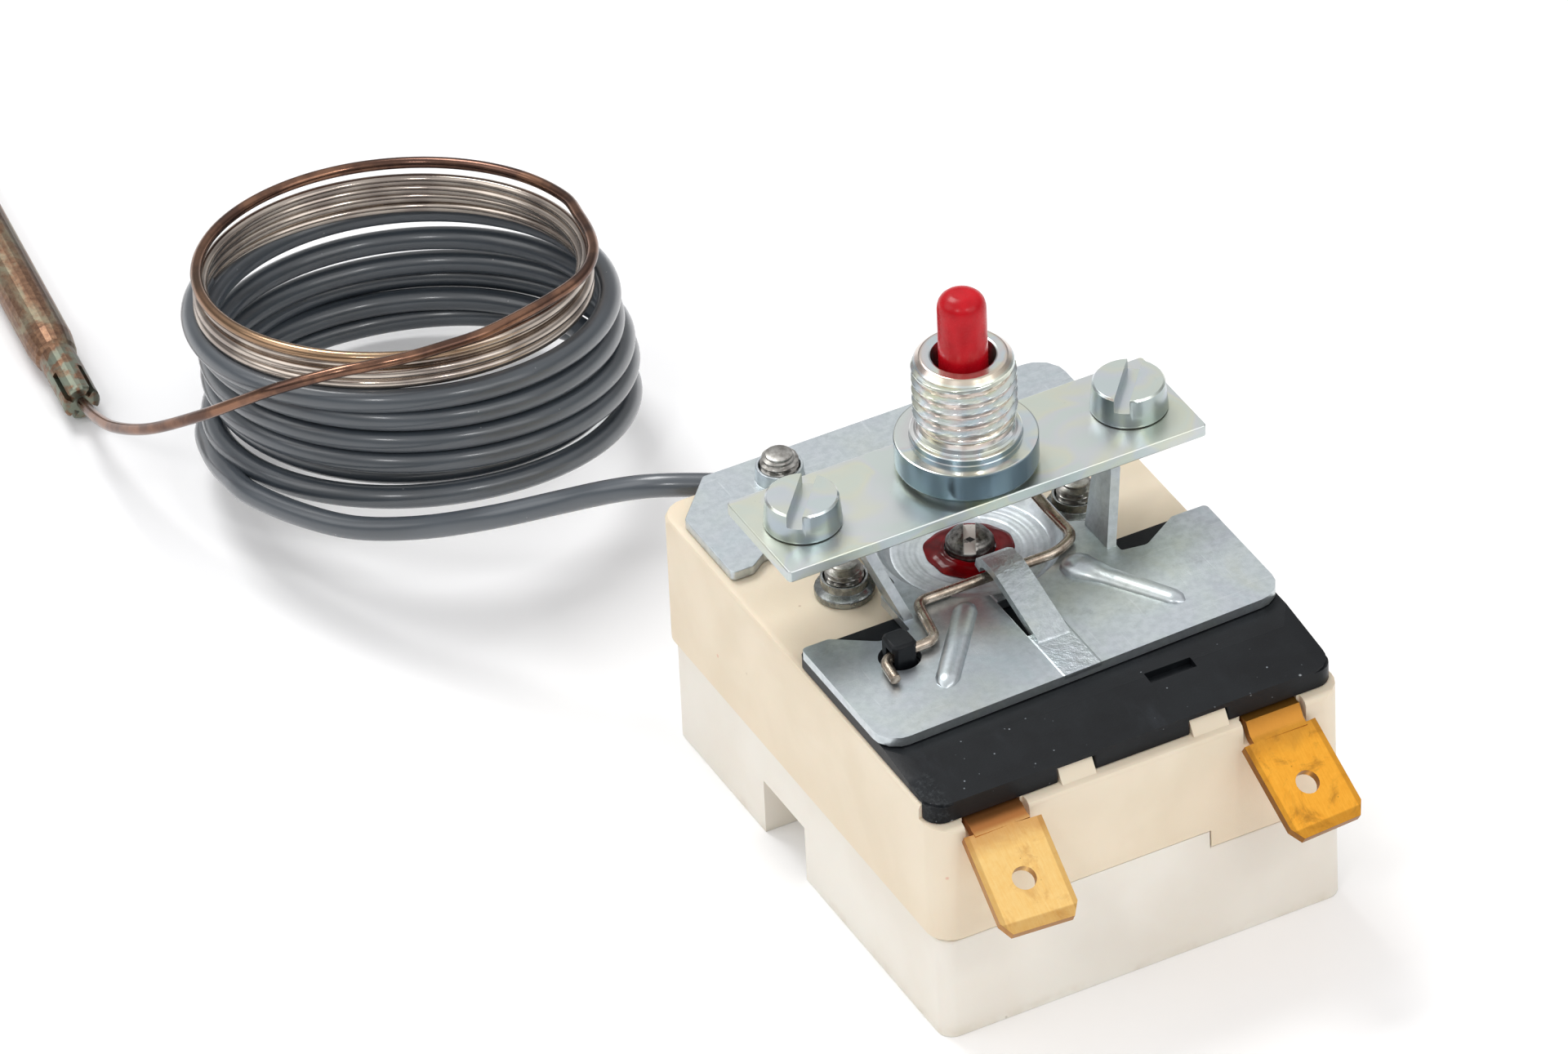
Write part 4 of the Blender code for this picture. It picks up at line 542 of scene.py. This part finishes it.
def steelSkin(name, tone, dark, rough):
    m = skin(name)
    wear = m.grain(1.3, 4.0, 0.65)
    fine = m.grain(8.0, 2.0)
    colour = m.mix(m.band(wear, 0.35, 0.65), tint(tone), tint(dark))
    m.set(colour=colour, metal=0.95, rough=rough + 0.18 * wear)
    m.bump(fine * 0.5 + wear * 0.5, 0.16, 0.00005)
    return m


grubTones = tints(light="8D8A86", dark="4A4845", paint="E9E7E0", fleck="1D1C1C")


def grubSkin(slotTurn):
    # dark steel with white paint in its slot and a black fleck in the paint
    m = skin("grubSteel")
    wear = m.grain(1.6, 4.0, 0.65)
    turn = math.radians(slotTurn)
    across = (m.y * math.cos(turn) - m.x * math.sin(turn)).size()
    along = m.x * math.cos(turn) + m.y * math.sin(turn)
    paint = m.band(across, 0.52, 0.40) * m.band(m.z, 23.0, 23.2) * m.band(m.grain(1.4, 3.0), 0.28, 0.36)
    fleck = m.band((along + 0.1).size() + across * 0.8, 0.42, 0.30)
    colour = m.mix(m.band(wear, 0.35, 0.65), grubTones["light"], grubTones["dark"])
    colour = m.mix(paint, colour, grubTones["paint"])
    colour = m.mix(paint * fleck, colour, grubTones["fleck"])
    m.set(colour=colour, metal=0.95 - 0.9 * paint, rough=0.26 + 0.14 * wear + 0.25 * paint)
    m.bump(wear + (m.z * 15.7).sine() * 0.8 * m.band(m.z, 24.0, 23.8), 0.3, 0.00006)  # fine thread
    return m


def redSkin(name, tone, deep, rough, gloss):
    m = skin(name)
    cloud = m.grain(0.5, 2.0)
    fine = m.grain(3.0, 3.0)
    colour = m.mix(m.band(cloud, 0.3, 0.7), tint(tone), tint(deep))
    dust = m.band(m.cells(1.9), 0.10, 0.04) * m.band(m.grain(1.2, 1.0), 0.63, 0.67)
    colour = m.mix(dust * 0.3, colour, tint("D98C92"))
    m.set(colour=colour, rough=rough + 0.06 * fine, specular=gloss)
    m.bump(m.grain(0.8, 2.0) * 0.9 + fine * 0.1, 0.1, 0.00010)
    return m


def brassSkin(name, tone, deep, dark, amount, neckShade, edge, tab=None):
    # rolled brass: painted shade on the neck, darker oxide in clouds, grain along the tab
    m = skin(name)
    cloud = m.grain(0.32, 5.0, 0.7, warp=0.8)
    mottle = m.grain(1.7, 4.0, 0.7)
    rolled = m.grain(2.0, 2.0, 0.5, m.stretch(4.0, 0.4, 0.4))
    colour = m.mix(m.band(mottle * 0.5 + rolled * 0.5, 0.25, 0.75), tint(tone), tint(deep))
    colour = m.mix(m.band(cloud, 0.50, 0.72) * amount, colour, tint(dark))
    # painted shade: the neck, bent forward under the cover, is darker
    colour = m.mix(m.band(m.y, -27.3, -26.7), colour, tint(neckShade))
    spot = m.band(m.cells(1.5), 0.12, 0.04) * m.band(m.grain(0.8, 1.0), 0.58, 0.62)
    colour = m.mix(spot * 0.5, colour, tint("5A3A18"))
    # painted reflection: faces turned forward or sideways, the strip's cut edges among them, are darker,
    # mirroring the dark floor nearby
    sideways, forward, upward = m.facing()
    facingShade = m.band(-forward, 0.55, 0.9).most(m.band(sideways.size(), 0.55, 0.9))
    colour = m.mix(facingShade * 0.85, colour, tint(edge))
    if tab:
        # painted shade: the tab's tip and sides are darker where its bevels turn from the light, and a
        # stretch below the neck is darker at the bend
        turn = math.radians(tab["turn"])
        fromX = m.x - tab["x"]
        fromY = m.y - tab["y"]
        across = (fromX * math.cos(turn) + fromY * math.sin(turn)).size()
        along = fromX * math.sin(turn) - fromY * math.cos(turn)
        colour = m.mix(m.band(along + cloud * 2.0, 2.6, 1.0) * 0.55, colour, tint(neckShade))
        colour = m.mix(m.band(along, 6.25, 6.4) * 0.4, colour, tint(edge))
        colour = m.mix(m.band(across, 2.7, 2.8) * 0.35, colour, tint(edge))
    m.set(colour=colour, metal=0.9, rough=0.26 + 0.12 * cloud + 0.1 * rolled)
    m.bump(rolled * 0.5 + mottle * 0.5, 0.2, 0.00005)
    return m


sleeveTones = tints(deep="2E353C", light="394149", dust="9BA0A3")


def sleeveSkin():
    m = skin("sleeveGrey")
    cloud = m.grain(0.12, 2.0)
    fine = m.grain(2.5, 3.0)
    colour = m.mix(m.band(cloud, 0.3, 0.7), sleeveTones["deep"], sleeveTones["light"])
    dust = m.band(m.cells(1.3), 0.12, 0.04) * m.band(m.grain(0.7, 1.0), 0.6, 0.66)
    colour = m.mix(dust * 0.5, colour, sleeveTones["dust"])
    m.set(colour=colour, rough=0.4 + 0.06 * fine, specular=0.7, coat=0.9, coatRough=0.18)
    m.bump(m.grain(1.1, 2.0) * 0.6 + fine * 0.4, 0.05, 0.00006)
    return m


capillaryTones = tints(light="C2B7AC", shade="9B9088", copper="8C6854", burnt="5E463C", bright="A08468")


def capillarySkin():
    # nickel-bronze on the turns, brown copper on the last stretch; run goes from 0 to 1 along the cord
    m = skin("capillaryMetal")
    run = m.split(m.node('UVMap', {"uv_map": "run"}))[1]
    mottle = m.grain(1.3, 4.0, 0.65)
    cloud = m.grain(0.25, 2.0)
    turns = m.mix(m.band(m.grain(0.2, 2.0), 0.35, 0.65), capillaryTones["light"], capillaryTones["shade"])
    brown = m.mix(m.band(cloud + mottle * 0.3, 0.5, 0.75), capillaryTones["copper"], capillaryTones["burnt"])
    brown = m.mix(m.band(run, 0.72, 0.78), capillaryTones["bright"], brown)
    colour = m.mix(m.band(run + cloud * 0.03, 0.70, 0.735), turns, brown)
    m.set(colour=colour, metal=0.93, rough=0.17 + 0.02 * mottle)
    return m


bulbTones = tints(light="8C6C54", shade="684C3C", patina="94927C", crimp="7E8A7C", stripe="2E2522")


def bulbSkin():
    # oxidised copper: brown with green-grey patina and a dark stripe along it
    m = skin("bulbCopper")
    cloud = m.grain(0.3, 5.0, 0.7, m.stretch(1.0, 0.5, 1.0), 0.7)
    mottle = m.grain(2.2, 4.0, 0.7)
    colour = m.mix(m.band(mottle, 0.3, 0.7), bulbTones["light"], bulbTones["shade"])
    colour = m.mix(m.band(cloud, 0.48, 0.68) * 0.75, colour, bulbTones["patina"])
    crimp = m.band(m.y, 83.5, 81.5) * m.band(m.grain(0.9, 3.0), 0.42, 0.55)
    colour = m.mix(crimp * 0.8, colour, bulbTones["crimp"])
    stripe = m.band((m.x + 38.9 - 0.13 * (m.y - 76.5)).size(), 0.45, 0.2)
    colour = m.mix(stripe * 0.6, colour, bulbTones["stripe"])
    m.set(colour=colour, metal=0.85, rough=0.3 + 0.2 * cloud)
    m.bump(mottle, 0.25, 0.00006)
    return m


# colours that the passivation film runs through
yellowPink = ((0.32, tint("D9D3A2")), (0.42, tint("CFD6CF")), (0.5, tint("CDBEC2")),
              (0.58, tint("B5C6D4")), (0.68, tint("D6D6B4")))
greenGold = ((0.3, tint("C9CBA6")), (0.42, tint("C3CDBB")), (0.52, tint("CFCDB0")),
             (0.62, tint("C2C3CE")), (0.72, tint("B8C6C6")))
# middle of each tab where its neck ends, in millimetres, and its turn in degrees
leftTab = {"x": -12.21, "y": -27.3, "turn": -4.4}
rightTab = {"x": 11.39, "y": -27.3, "turn": 3.6}

ceramic = ceramicSkin()
cream = creamSkin()
black = blackSkin("blackMoulding", dusty=1.0)
plungerBlack = blackSkin("plungerBlack", dusty=0.3)
zincFront = zincSkin("zincFront", gold=0.18, rings=1.0)
zincRear = zincSkin("zincRear", gold=0.12, rings=0.0)
zincBridge = filmSkin("zincBridge", greenGold, rough=0.24, tone="DADFD8", valley=0.0, wallReflectionShare=0.15)
zincBushing = filmSkin("zincBushing", yellowPink, rough=0.13, tone="DDE3E1", valley=1.0, wallReflectionShare=0.95)
zincScrew = filmSkin("zincScrew", greenGold, rough=0.18, tone="DCE4E4", valley=0.0, wallReflectionShare=0.5)
screwSteel = steelSkin("screwSteel", tone="B9B7B2", dark="8A8782", rough=0.22)
eyeletSteel = steelSkin("eyeletSteel", tone="A4A8A6", dark="777A7A", rough=0.18)
wireSteel = steelSkin("wireSteel", tone="C2B5A6", dark="978879", rough=0.18)
grubSteel = grubSkin(slotTurn=62.0)
buttonRed = redSkin("buttonRed", tone="C40D1D", deep="AC0917", rough=0.24, gloss=0.25)
lacquerRed = redSkin("lacquerRed", tone="84060F", deep="4E0408", rough=0.12, gloss=0.22)
brassLeft = brassSkin("brassLeft", tone="FFD98F", deep="F8C877", dark="CE9450", amount=0.6,
                      neckShade="C07F48", edge="9A6420", tab=leftTab)
brassRight = brassSkin("brassRight", tone="FFB842", deep="F2A634", dark="A66E28", amount=0.75,
                       neckShade="B98034", edge="7A4C18", tab=rightTab)
brassInner = brassSkin("brassInner", tone="D8AC62", deep="C69850", dark="94703C", amount=0.5,
                       neckShade="D0A258", edge="8E6024")
sleeveGrey = sleeveSkin()
capillaryMetal = capillarySkin()
bulbCopper = bulbSkin()
capsuleMetal = steelSkin("capsuleMetal", tone="A49C90", dark="7F776B", rough=0.25)
silver = steelSkin("contactSilver", tone="D8D8D4", dark="B5B5B0", rough=0.18)
print("finishes made")


# cords, in millimetres in the part's frame; a coil has one radius and one lift along the axis
# for the left, back, right and front of each turn, and turns are counted from the sleeve's first
coil = {"axis": (0.049, 0.141, 0.989), "centre": (-18.75, 58.05, 3.49), "perTurn": 42, "window": 11}
sleeve = {"diameter": 1.9, "turnStart": 0.06, "turnEnd": 6.12, "shift": 0.0, "spacing": 0.7, "sides": 24,
          "lead": ((-9.95, 18.5, 19.9), (-12.3, 20.0, 20.0), (-15.7, 22.2, 19.8), (-18.2, 24.8, 18.5),
                   (-20.8, 27.9, 16.5), (-25.0, 31.9, 14.0), (-28.7, 37.1, 11.0), (-32.1, 42.1, 9.0),
                   (-34.6, 47.1, 8.0), (-36.3, 52.4, 7.2), (-36.4, 56.0, 6.5), (-35.9, 59.9, 5.5)),
          "radius": (17.4, 16.6, 16.9, 16.7, 16.5, 16.5, 15.4, 14.9, 14.9, 17.8, 16.95, 16.6, 16.1,
                     16.7, 16.6, 16.6, 16.2, 16.6, 15.6, 16.6, 16.5, 16.6, 15.4, 16.6, 17.3, 17.6),
          "lift": (0.85, 0.7, 1.7, 2.75, 2.65, 2.65, 3.35, 3.75, 4.4, 4.1, 4.6, 5.5, 6.25,
                   5.75, 6.5, 7.4, 8.1, 8.15, 8.8, 9.35, 10.2, 10.85, 11.1, 11.4, 11.45, 11.5)}
capillary = {"diameter": 0.95, "turnStart": 6.12, "turnEnd": 10.5, "shift": 1.4, "spacing": 0.5, "sides": 16,
             "radius": (16.6, 15.8, 15.5, 15.5, 15.5, 15.5, 15.5, 15.5, 15.45, 15.4,
                        15.1, 14.85, 15.1, 15.2, 15.4, 15.5, 15.5, 15.5, 15.8, 15.9),
             "lift": (11.4, 11.75, 12.3, 12.6, 12.8, 12.85, 13.15, 13.45, 13.6, 13.75,
                      13.9, 14.05, 14.35, 14.6, 14.65, 14.75, 15.25, 15.9, 16.05, 16.3),
             "tail": ((-4.02, 57.76, 19.04), (-4.54, 55.13, 19.44), (-5.3, 52.69, 19.82),
                      (-6.3, 50.77, 20.12), (-7.71, 49.04, 20.39), (-9.49, 47.73, 20.61),
                      (-11.55, 46.78, 20.8), (-15.02, 45.59, 21.04), (-19.0, 44.61, 21.28),
                      (-22.4, 44.51, 21.4),
                      (-25.5, 44.6, 21.5), (-28.4, 45.1, 21.5), (-31.2, 46.1, 21.2), (-35.0, 48.4, 19.7),
                      (-37.2, 51.2, 17.4), (-39.2, 54.6, 14.6), (-41.0, 60.5, 10.2), (-41.5, 66.5, 6.6),
                      (-41.1, 71.5, 4.2), (-40.3, 76.2, 2.3))}
coilAxis = numpy.array(coil["axis"]) / numpy.linalg.norm(coil["axis"])
coilLeft = numpy.array([-1.0, 0.0, 0.0]) + coilAxis * coilAxis[0]
coilLeft /= numpy.linalg.norm(coilLeft)
coilBack = numpy.cross(coilLeft, coilAxis)


def coilTurns(cord):
    # point(t) = centre + lift(t) axis + radius(t) (cos 2 pi t left + sin 2 pi t back), t counted in
    # turns; radius and lift run straight between their values and are then smoothed
    start, end = cord["turnStart"], cord["turnEnd"]
    keys = math.floor(start) + 0.25 * numpy.arange(len(cord["radius"]))
    turn = numpy.linspace(start, end, int((end - start) * coil["perTurn"]))
    window = numpy.hanning(coil["window"])
    kernel = window[1:-1] / window.sum()
    radius, lift = (numpy.convolve(numpy.pad(numpy.interp(turn, keys, cord[key]), len(kernel) // 2,
                                             mode='edge'), kernel, mode='valid')
                    for key in ("radius", "lift"))
    angle = 2.0 * math.pi * turn
    out = numpy.cos(angle)[:, None] * coilLeft + numpy.sin(angle)[:, None] * coilBack
    centre = numpy.array(coil["centre"]) + cord["shift"] * coilLeft
    return centre + lift[:, None] * coilAxis + radius[:, None] * out


sleevePath = smoothPath(numpy.vstack([sleeve["lead"], coilTurns(sleeve)]) * mm, sleeve["spacing"] * mm)
sleeveMesh, sleeveLength = tubeMesh("sleeveCord", sleevePath, 0.5 * sleeve["diameter"] * mm, sleeve["sides"])
sleeveCord = addPiece("sleeveCord", seal(sleeveMesh, sharp=60.0), sleeveGrey,
                      ("sleeve_lead", "sleeve_coil"))
capillaryPath = smoothPath(numpy.vstack([coilTurns(capillary), capillary["tail"]]) * mm,
                           capillary["spacing"] * mm)
capillaryPath[0] = sleevePath[-1]  # the bare capillary comes out of the sleeve's end
capillaryMesh, capillaryLength = tubeMesh("capillaryCord", capillaryPath, 0.5 * capillary["diameter"] * mm,
                                          capillary["sides"])
capillaryCord = addPiece("capillaryCord", seal(capillaryMesh, sharp=60.0), capillaryMetal,
                         ("capillary_coil", "capillary_tail"))
print("cords", round(sleeveLength, 4), round(capillaryLength, 4))


# housing and plates: width of the rounded edges in millimetres, rows of faces across them
housing = {"base": {"edge": 0.22, "steps": 3}, "body": {"edge": 0.25, "steps": 3},
           "cover": {"edge": 0.22, "steps": 3}}
plates = {"edge": 0.12, "sharp": 42.0}
dress("lower_base", "ceramicBase", "ceramic", ceramic, **housing["base"])
dress("upper_housing", "creamHousing", "cream_moulding", cream, **housing["body"])
dress("front_cover", "blackCover", "black_plastic", black, **housing["cover"])
print("housing dressed")
dress("front_plate", "frontPlate", "zinc_sheet", zincFront, **plates)
dress("rear_plate", "rearPlate", "zinc_sheet", zincRear, **plates)
dress("bridge_plate", "bridgePlate", "bright_zinc", zincBridge, **plates)
print("plates dressed")

# threads: a ridge that climbs one pitch a turn; profiles are radius and height in millimetres
bushing = {"crest": 4.0, "root": 3.58, "pitch": 1.0, "low": 34.75, "top": 40.2, "steps": 144, "rows": 22,
           "above": ((2.45, 40.55), (2.5, 40.68), (2.62, 40.75), (3.25, 40.75), (3.38, 40.7), (3.8, 40.3)),
           "below": ((3.58, 34.7), (3.62, 34.3), (3.78, 34.0), (3.95, 33.9), (4.2, 33.87), (4.27, 33.8),
                     (4.27, 33.38), (4.33, 33.3), (5.38, 33.3), (5.46, 33.27), (5.5, 33.2), (5.5, 31.06),
                     (5.46, 30.98), (5.38, 30.95), (4.55, 30.95), (4.5, 30.9), (4.5, 30.5), (3.2, 30.5),
                     (3.2, 29.3), (2.45, 29.3), (2.45, 32.0), (2.45, 36.0))}
ridgeShape = {"reach": 0.3, "flank": 0.23, "fadeIn": 0.7, "fadeOut": 0.45}  # shares of one pitch


def helixRadius(z, turn, thread):
    # radius = root + (crest - root) ridge, where the ridge has straight flanks and a narrow flat crest
    phase = ((z - thread["low"]) / thread["pitch"] - turn / (2.0 * math.pi)) % 1.0
    ridge = numpy.clip((ridgeShape["reach"] - numpy.abs(phase - 0.5)) / ridgeShape["flank"], 0.0, 1.0)
    fade = numpy.clip((z - thread["low"]) / (ridgeShape["fadeIn"] * thread["pitch"]), 0.0, 1.0)
    return thread["root"] + (thread["crest"] - thread["root"]) * ridge * fade


def firmed(profile, gap=0.03):
    # points close to both ends of each long straight stretch keep it straight when shaded smooth
    points = [profile[0]]
    for before, here in zip(profile, profile[1:]):
        length = math.dist(before, here)
        if length > 5 * gap:
            for share in (gap / length, 1.0 - gap / length):
                points.append(tuple(p + (q - p) * share for p, q in zip(before, here)))
        points.append(here)
    return points


def threadMesh(name, thread, above, below, centre=(0.0, 0.0), ring=True):
    # point(i, a) = (r cos a, r sin a, z_i): the profile above, rows where r(z, a) follows the helix,
    # then the profile below; near the top the crests shrink to the profile's last radius
    steps = thread["steps"]
    count = int((thread["top"] - thread["low"]) / thread["pitch"] * thread["rows"])
    level = numpy.linspace(thread["top"], thread["low"], count)
    turn = numpy.linspace(0.0, 2.0 * math.pi, steps, endpoint=False)
    z, a = numpy.meshgrid(level, turn, indexing='ij')
    before = numpy.repeat(numpy.array(above)[:, :1], steps, axis=1)
    after = numpy.repeat(numpy.array(below)[:, :1], steps, axis=1)
    soften = numpy.clip((thread["top"] - z) / (ridgeShape["fadeOut"] * thread["pitch"]), 0.0, 1.0)
    middle = numpy.minimum(helixRadius(z, a, thread), before[-1] * (1 - soften) + thread["crest"] * soften)
    radius = numpy.vstack([before, middle, after])
    height = numpy.vstack([numpy.repeat(numpy.array(above)[:, 1:], steps, axis=1), z,
                           numpy.repeat(numpy.array(below)[:, 1:], steps, axis=1)])
    x = radius * numpy.cos(turn) + centre[0]
    y = radius * numpy.sin(turn) + centre[1]
    return gridMesh(name, numpy.stack([x, y, height], axis=-1) * mm, closeRows=ring)


bushingMesh = threadMesh("threadedBushing", bushing, firmed(bushing["above"]), firmed(bushing["below"]))
addPiece("threadedBushing", seal(bushingMesh, sharp=32.0), zincBushing, ("threaded_bushing",))

# housing screws: the thread ends a little below the chamfered tip
houseScrew = {"crest": 1.5, "root": 1.22, "pitch": 0.5, "low": 19.5, "tip": 1.05, "belowTip": 0.25,
              "chamferWide": 0.15, "chamferHigh": 0.05, "shankGap": 0.1, "steps": 40, "rows": 8}
screwRows = {"mid": {"x": 10.0, "y": 1.5, "top": 24.0, "head": 2.75, "headLow": 0.5, "headTop": 2.9},
             "rear": {"x": 8.04, "y": 15.65, "top": 24.3, "head": 2.1, "headLow": 9.9, "headTop": 11.9}}


def addHouseScrew(name, node, side, row):
    thread = {**houseScrew, "top": row["top"] - houseScrew["belowTip"]}
    tip, crest = thread["tip"], thread["crest"]
    above = ((0.0, row["top"]), (tip - thread["chamferWide"], row["top"]),
             (tip, row["top"] - thread["chamferHigh"]))
    below = ((crest, thread["low"] - thread["shankGap"]), (crest, row["headTop"]),
             (row["head"], row["headTop"]), (row["head"], row["headLow"]), (0.0, row["headLow"]))
    mesh = threadMesh(name, thread, above, below, (side * row["x"], row["y"]), ring=False)
    addPiece(name, seal(mesh, sharp=35.0), screwSteel, (node,))


for side, label in ((-1.0, "Left"), (1.0, "Right")):
    hand = label.lower()
    for place, row in screwRows.items():
        addHouseScrew(place + "Screw" + label, "housing_screw_" + place + "_" + hand, side, row)
    dress("eyelet_" + hand, "eyelet" + label, "steel", eyeletSteel, edge=0.05)
    dress("mounting_screw_" + hand, "mountingScrew" + label, "bright_zinc", zincScrew, edge=0.08, sharp=30.0)
print("bushing and screws made")

# reset button: radius and height in millimetres
button = {"steps": 72,
          "profile": ((0.0, 46.3), (0.7, 46.3), (0.8, 46.28), (1.12, 46.19), (1.4, 46.02), (1.63, 45.8),
                      (1.77, 45.55), (1.85, 45.25), (1.88, 44.9), (1.88, 44.0), (1.88, 42.0), (1.88, 40.0),
                      (1.88, 35.5), (2.3, 35.05), (2.37, 34.9), (2.37, 29.25), (2.45, 29.2), (2.9, 29.2),
                      (3.0, 29.1), (3.0, 28.3), (2.9, 28.2), (0.0, 28.2))}
buttonMesh = turnedMesh("resetButton", button["profile"], button["steps"])
addPiece("resetButton", seal(buttonMesh, sharp=40.0), buttonRed, ("reset_button",),
         body="reset_button")

# lever: corners of the bent wire in millimetres; its front end has a small chamfer
lever = {"radius": 0.42, "bend": 0.95, "chamfer": 0.12, "chamferShare": 0.04, "sides": 20, "bendSteps": 14,
         "corners": ((-13.34, -13.0, 23.78), (-13.04, -10.42, 23.78), (-8.4, -10.22, 23.82),
                     (-7.5, -5.4, 23.7), (4.6, -5.4, 23.7), (6.6, -4.4, 23.8), (6.25, -1.5, 24.2),
                     (5.2, 1.25, 26.15), (-3.2, 2.6, 27.6))}


def bentPath(corners, bend, steps, most=0.45):
    # straight runs joined by parabolas: p(t) = start (1 - t)^2 + 2 corner t (1 - t) + end t^2;
    # one bend takes at most that share of a run
    corners = numpy.array(corners) * mm
    path = [corners[0]]
    for before, here, after in zip(corners, corners[1:], corners[2:]):
        start, end = (here + way / numpy.linalg.norm(way) * min(bend * mm, most * numpy.linalg.norm(way))
                      for way in (before - here, after - here))
        t = numpy.linspace(0.0, 1.0, steps)[:, None]
        path.extend(start * (1 - t) ** 2 + here * (2 * t * (1 - t)) + end * t ** 2)
    path.append(corners[-1])
    return numpy.array(path)


def leverMesh():
    path = bentPath(lever["corners"], lever["bend"], lever["bendSteps"])
    share = lever["chamferShare"]
    path = numpy.vstack([path[0], path[0] * (1 - share) + path[1] * share, path[1:]])
    radius = numpy.full(len(path), lever["radius"] * mm)
    radius[0] = (lever["radius"] - lever["chamfer"]) * mm
    return tubeMesh("resetLever", path, radius, lever["sides"])[0]


addPiece("resetLever", seal(leverMesh(), sharp=50.0), wireSteel, ("reset_lever",),
         body="reset_lever")
dress("reset_plunger", "resetPlunger", "black_plastic", plungerBlack, edge=0.12, sharp=35.0,
      body="reset_plunger")
print("reset mechanism made")

# calibration screw and the lacquer that locks it: radii and heights in millimetres, the lip in
# shares of the ring's width
dress("calibration_screw", "calibrationScrew", "steel", grubSteel, edge=0.06, sharp=35.0)
lacquer = {"inner": 1.98, "outer": 3.44, "floor": 22.07, "rim": 0.03, "crown": 0.30, "lip": 0.14,
           "lipAt": 0.04, "lipWide": 0.12, "steps": 120, "rings": 22}


def lacquerMesh():
    # height over the dish = a soft hump from the inner to the outer radius, both wavy round the ring,
    # with a narrow lip against the screw
    turn = numpy.linspace(0.0, 2.0 * math.pi, lacquer["steps"], endpoint=False)
    place = numpy.linspace(0.0, 1.0, lacquer["rings"])[:, None]
    wavy = 0.1 * numpy.sin(3 * turn + 0.6) + 0.07 * numpy.sin(5 * turn + 2.0) + 0.04 * numpy.sin(11 * turn)
    radius = lacquer["inner"] + (lacquer["outer"] + wavy - lacquer["inner"]) * place
    uneven = 0.06 * numpy.sin(2 * turn + 1.0) + 0.04 * numpy.sin(7 * turn)
    hump = (lacquer["crown"] + uneven) * (1 - place ** 3.5)
    lip = lacquer["lip"] * numpy.exp(-((place - lacquer["lipAt"]) / lacquer["lipWide"]) ** 2)
    high = lacquer["floor"] + lacquer["rim"] + hump + lip
    x = radius * numpy.cos(turn)
    y = radius * numpy.sin(turn)
    topSide = numpy.stack([x, y, high], axis=-1)
    underSide = numpy.stack([x, y, numpy.full_like(high, lacquer["floor"])], axis=-1)[::-1]
    return gridMesh("sealingLacquer", numpy.vstack([topSide, underSide]) * mm, closeRows=True)


addPiece("sealingLacquer", seal(lacquerMesh(), sharp=50.0), lacquerRed, ("sealing_lacquer",))
print("calibration screw sealed")

# terminals
dress("terminal_left", "terminalLeft", "brass", brassLeft, edge=0.1)
dress("terminal_right", "terminalRight", "brass", brassRight, edge=0.1)
print("terminals dressed")

# pieces that keep their own mesh and get a finish: those inside, and the bulb
finished = {"contact_spring": brassInner, "spring_rivet": brassInner, "moving_contact": silver,
            "fixed_contact": silver, "diaphragm_capsule": capsuleMetal, "thrust_pin": ceramic,
            "capillary_feed": capsuleMetal, "sensor_bulb": bulbCopper}
for node, surface in finished.items():
    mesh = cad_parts[node].data
    for i in range(len(mesh.materials)):
        mesh.materials[i] = surface.material
print("inner pieces and bulb finished")
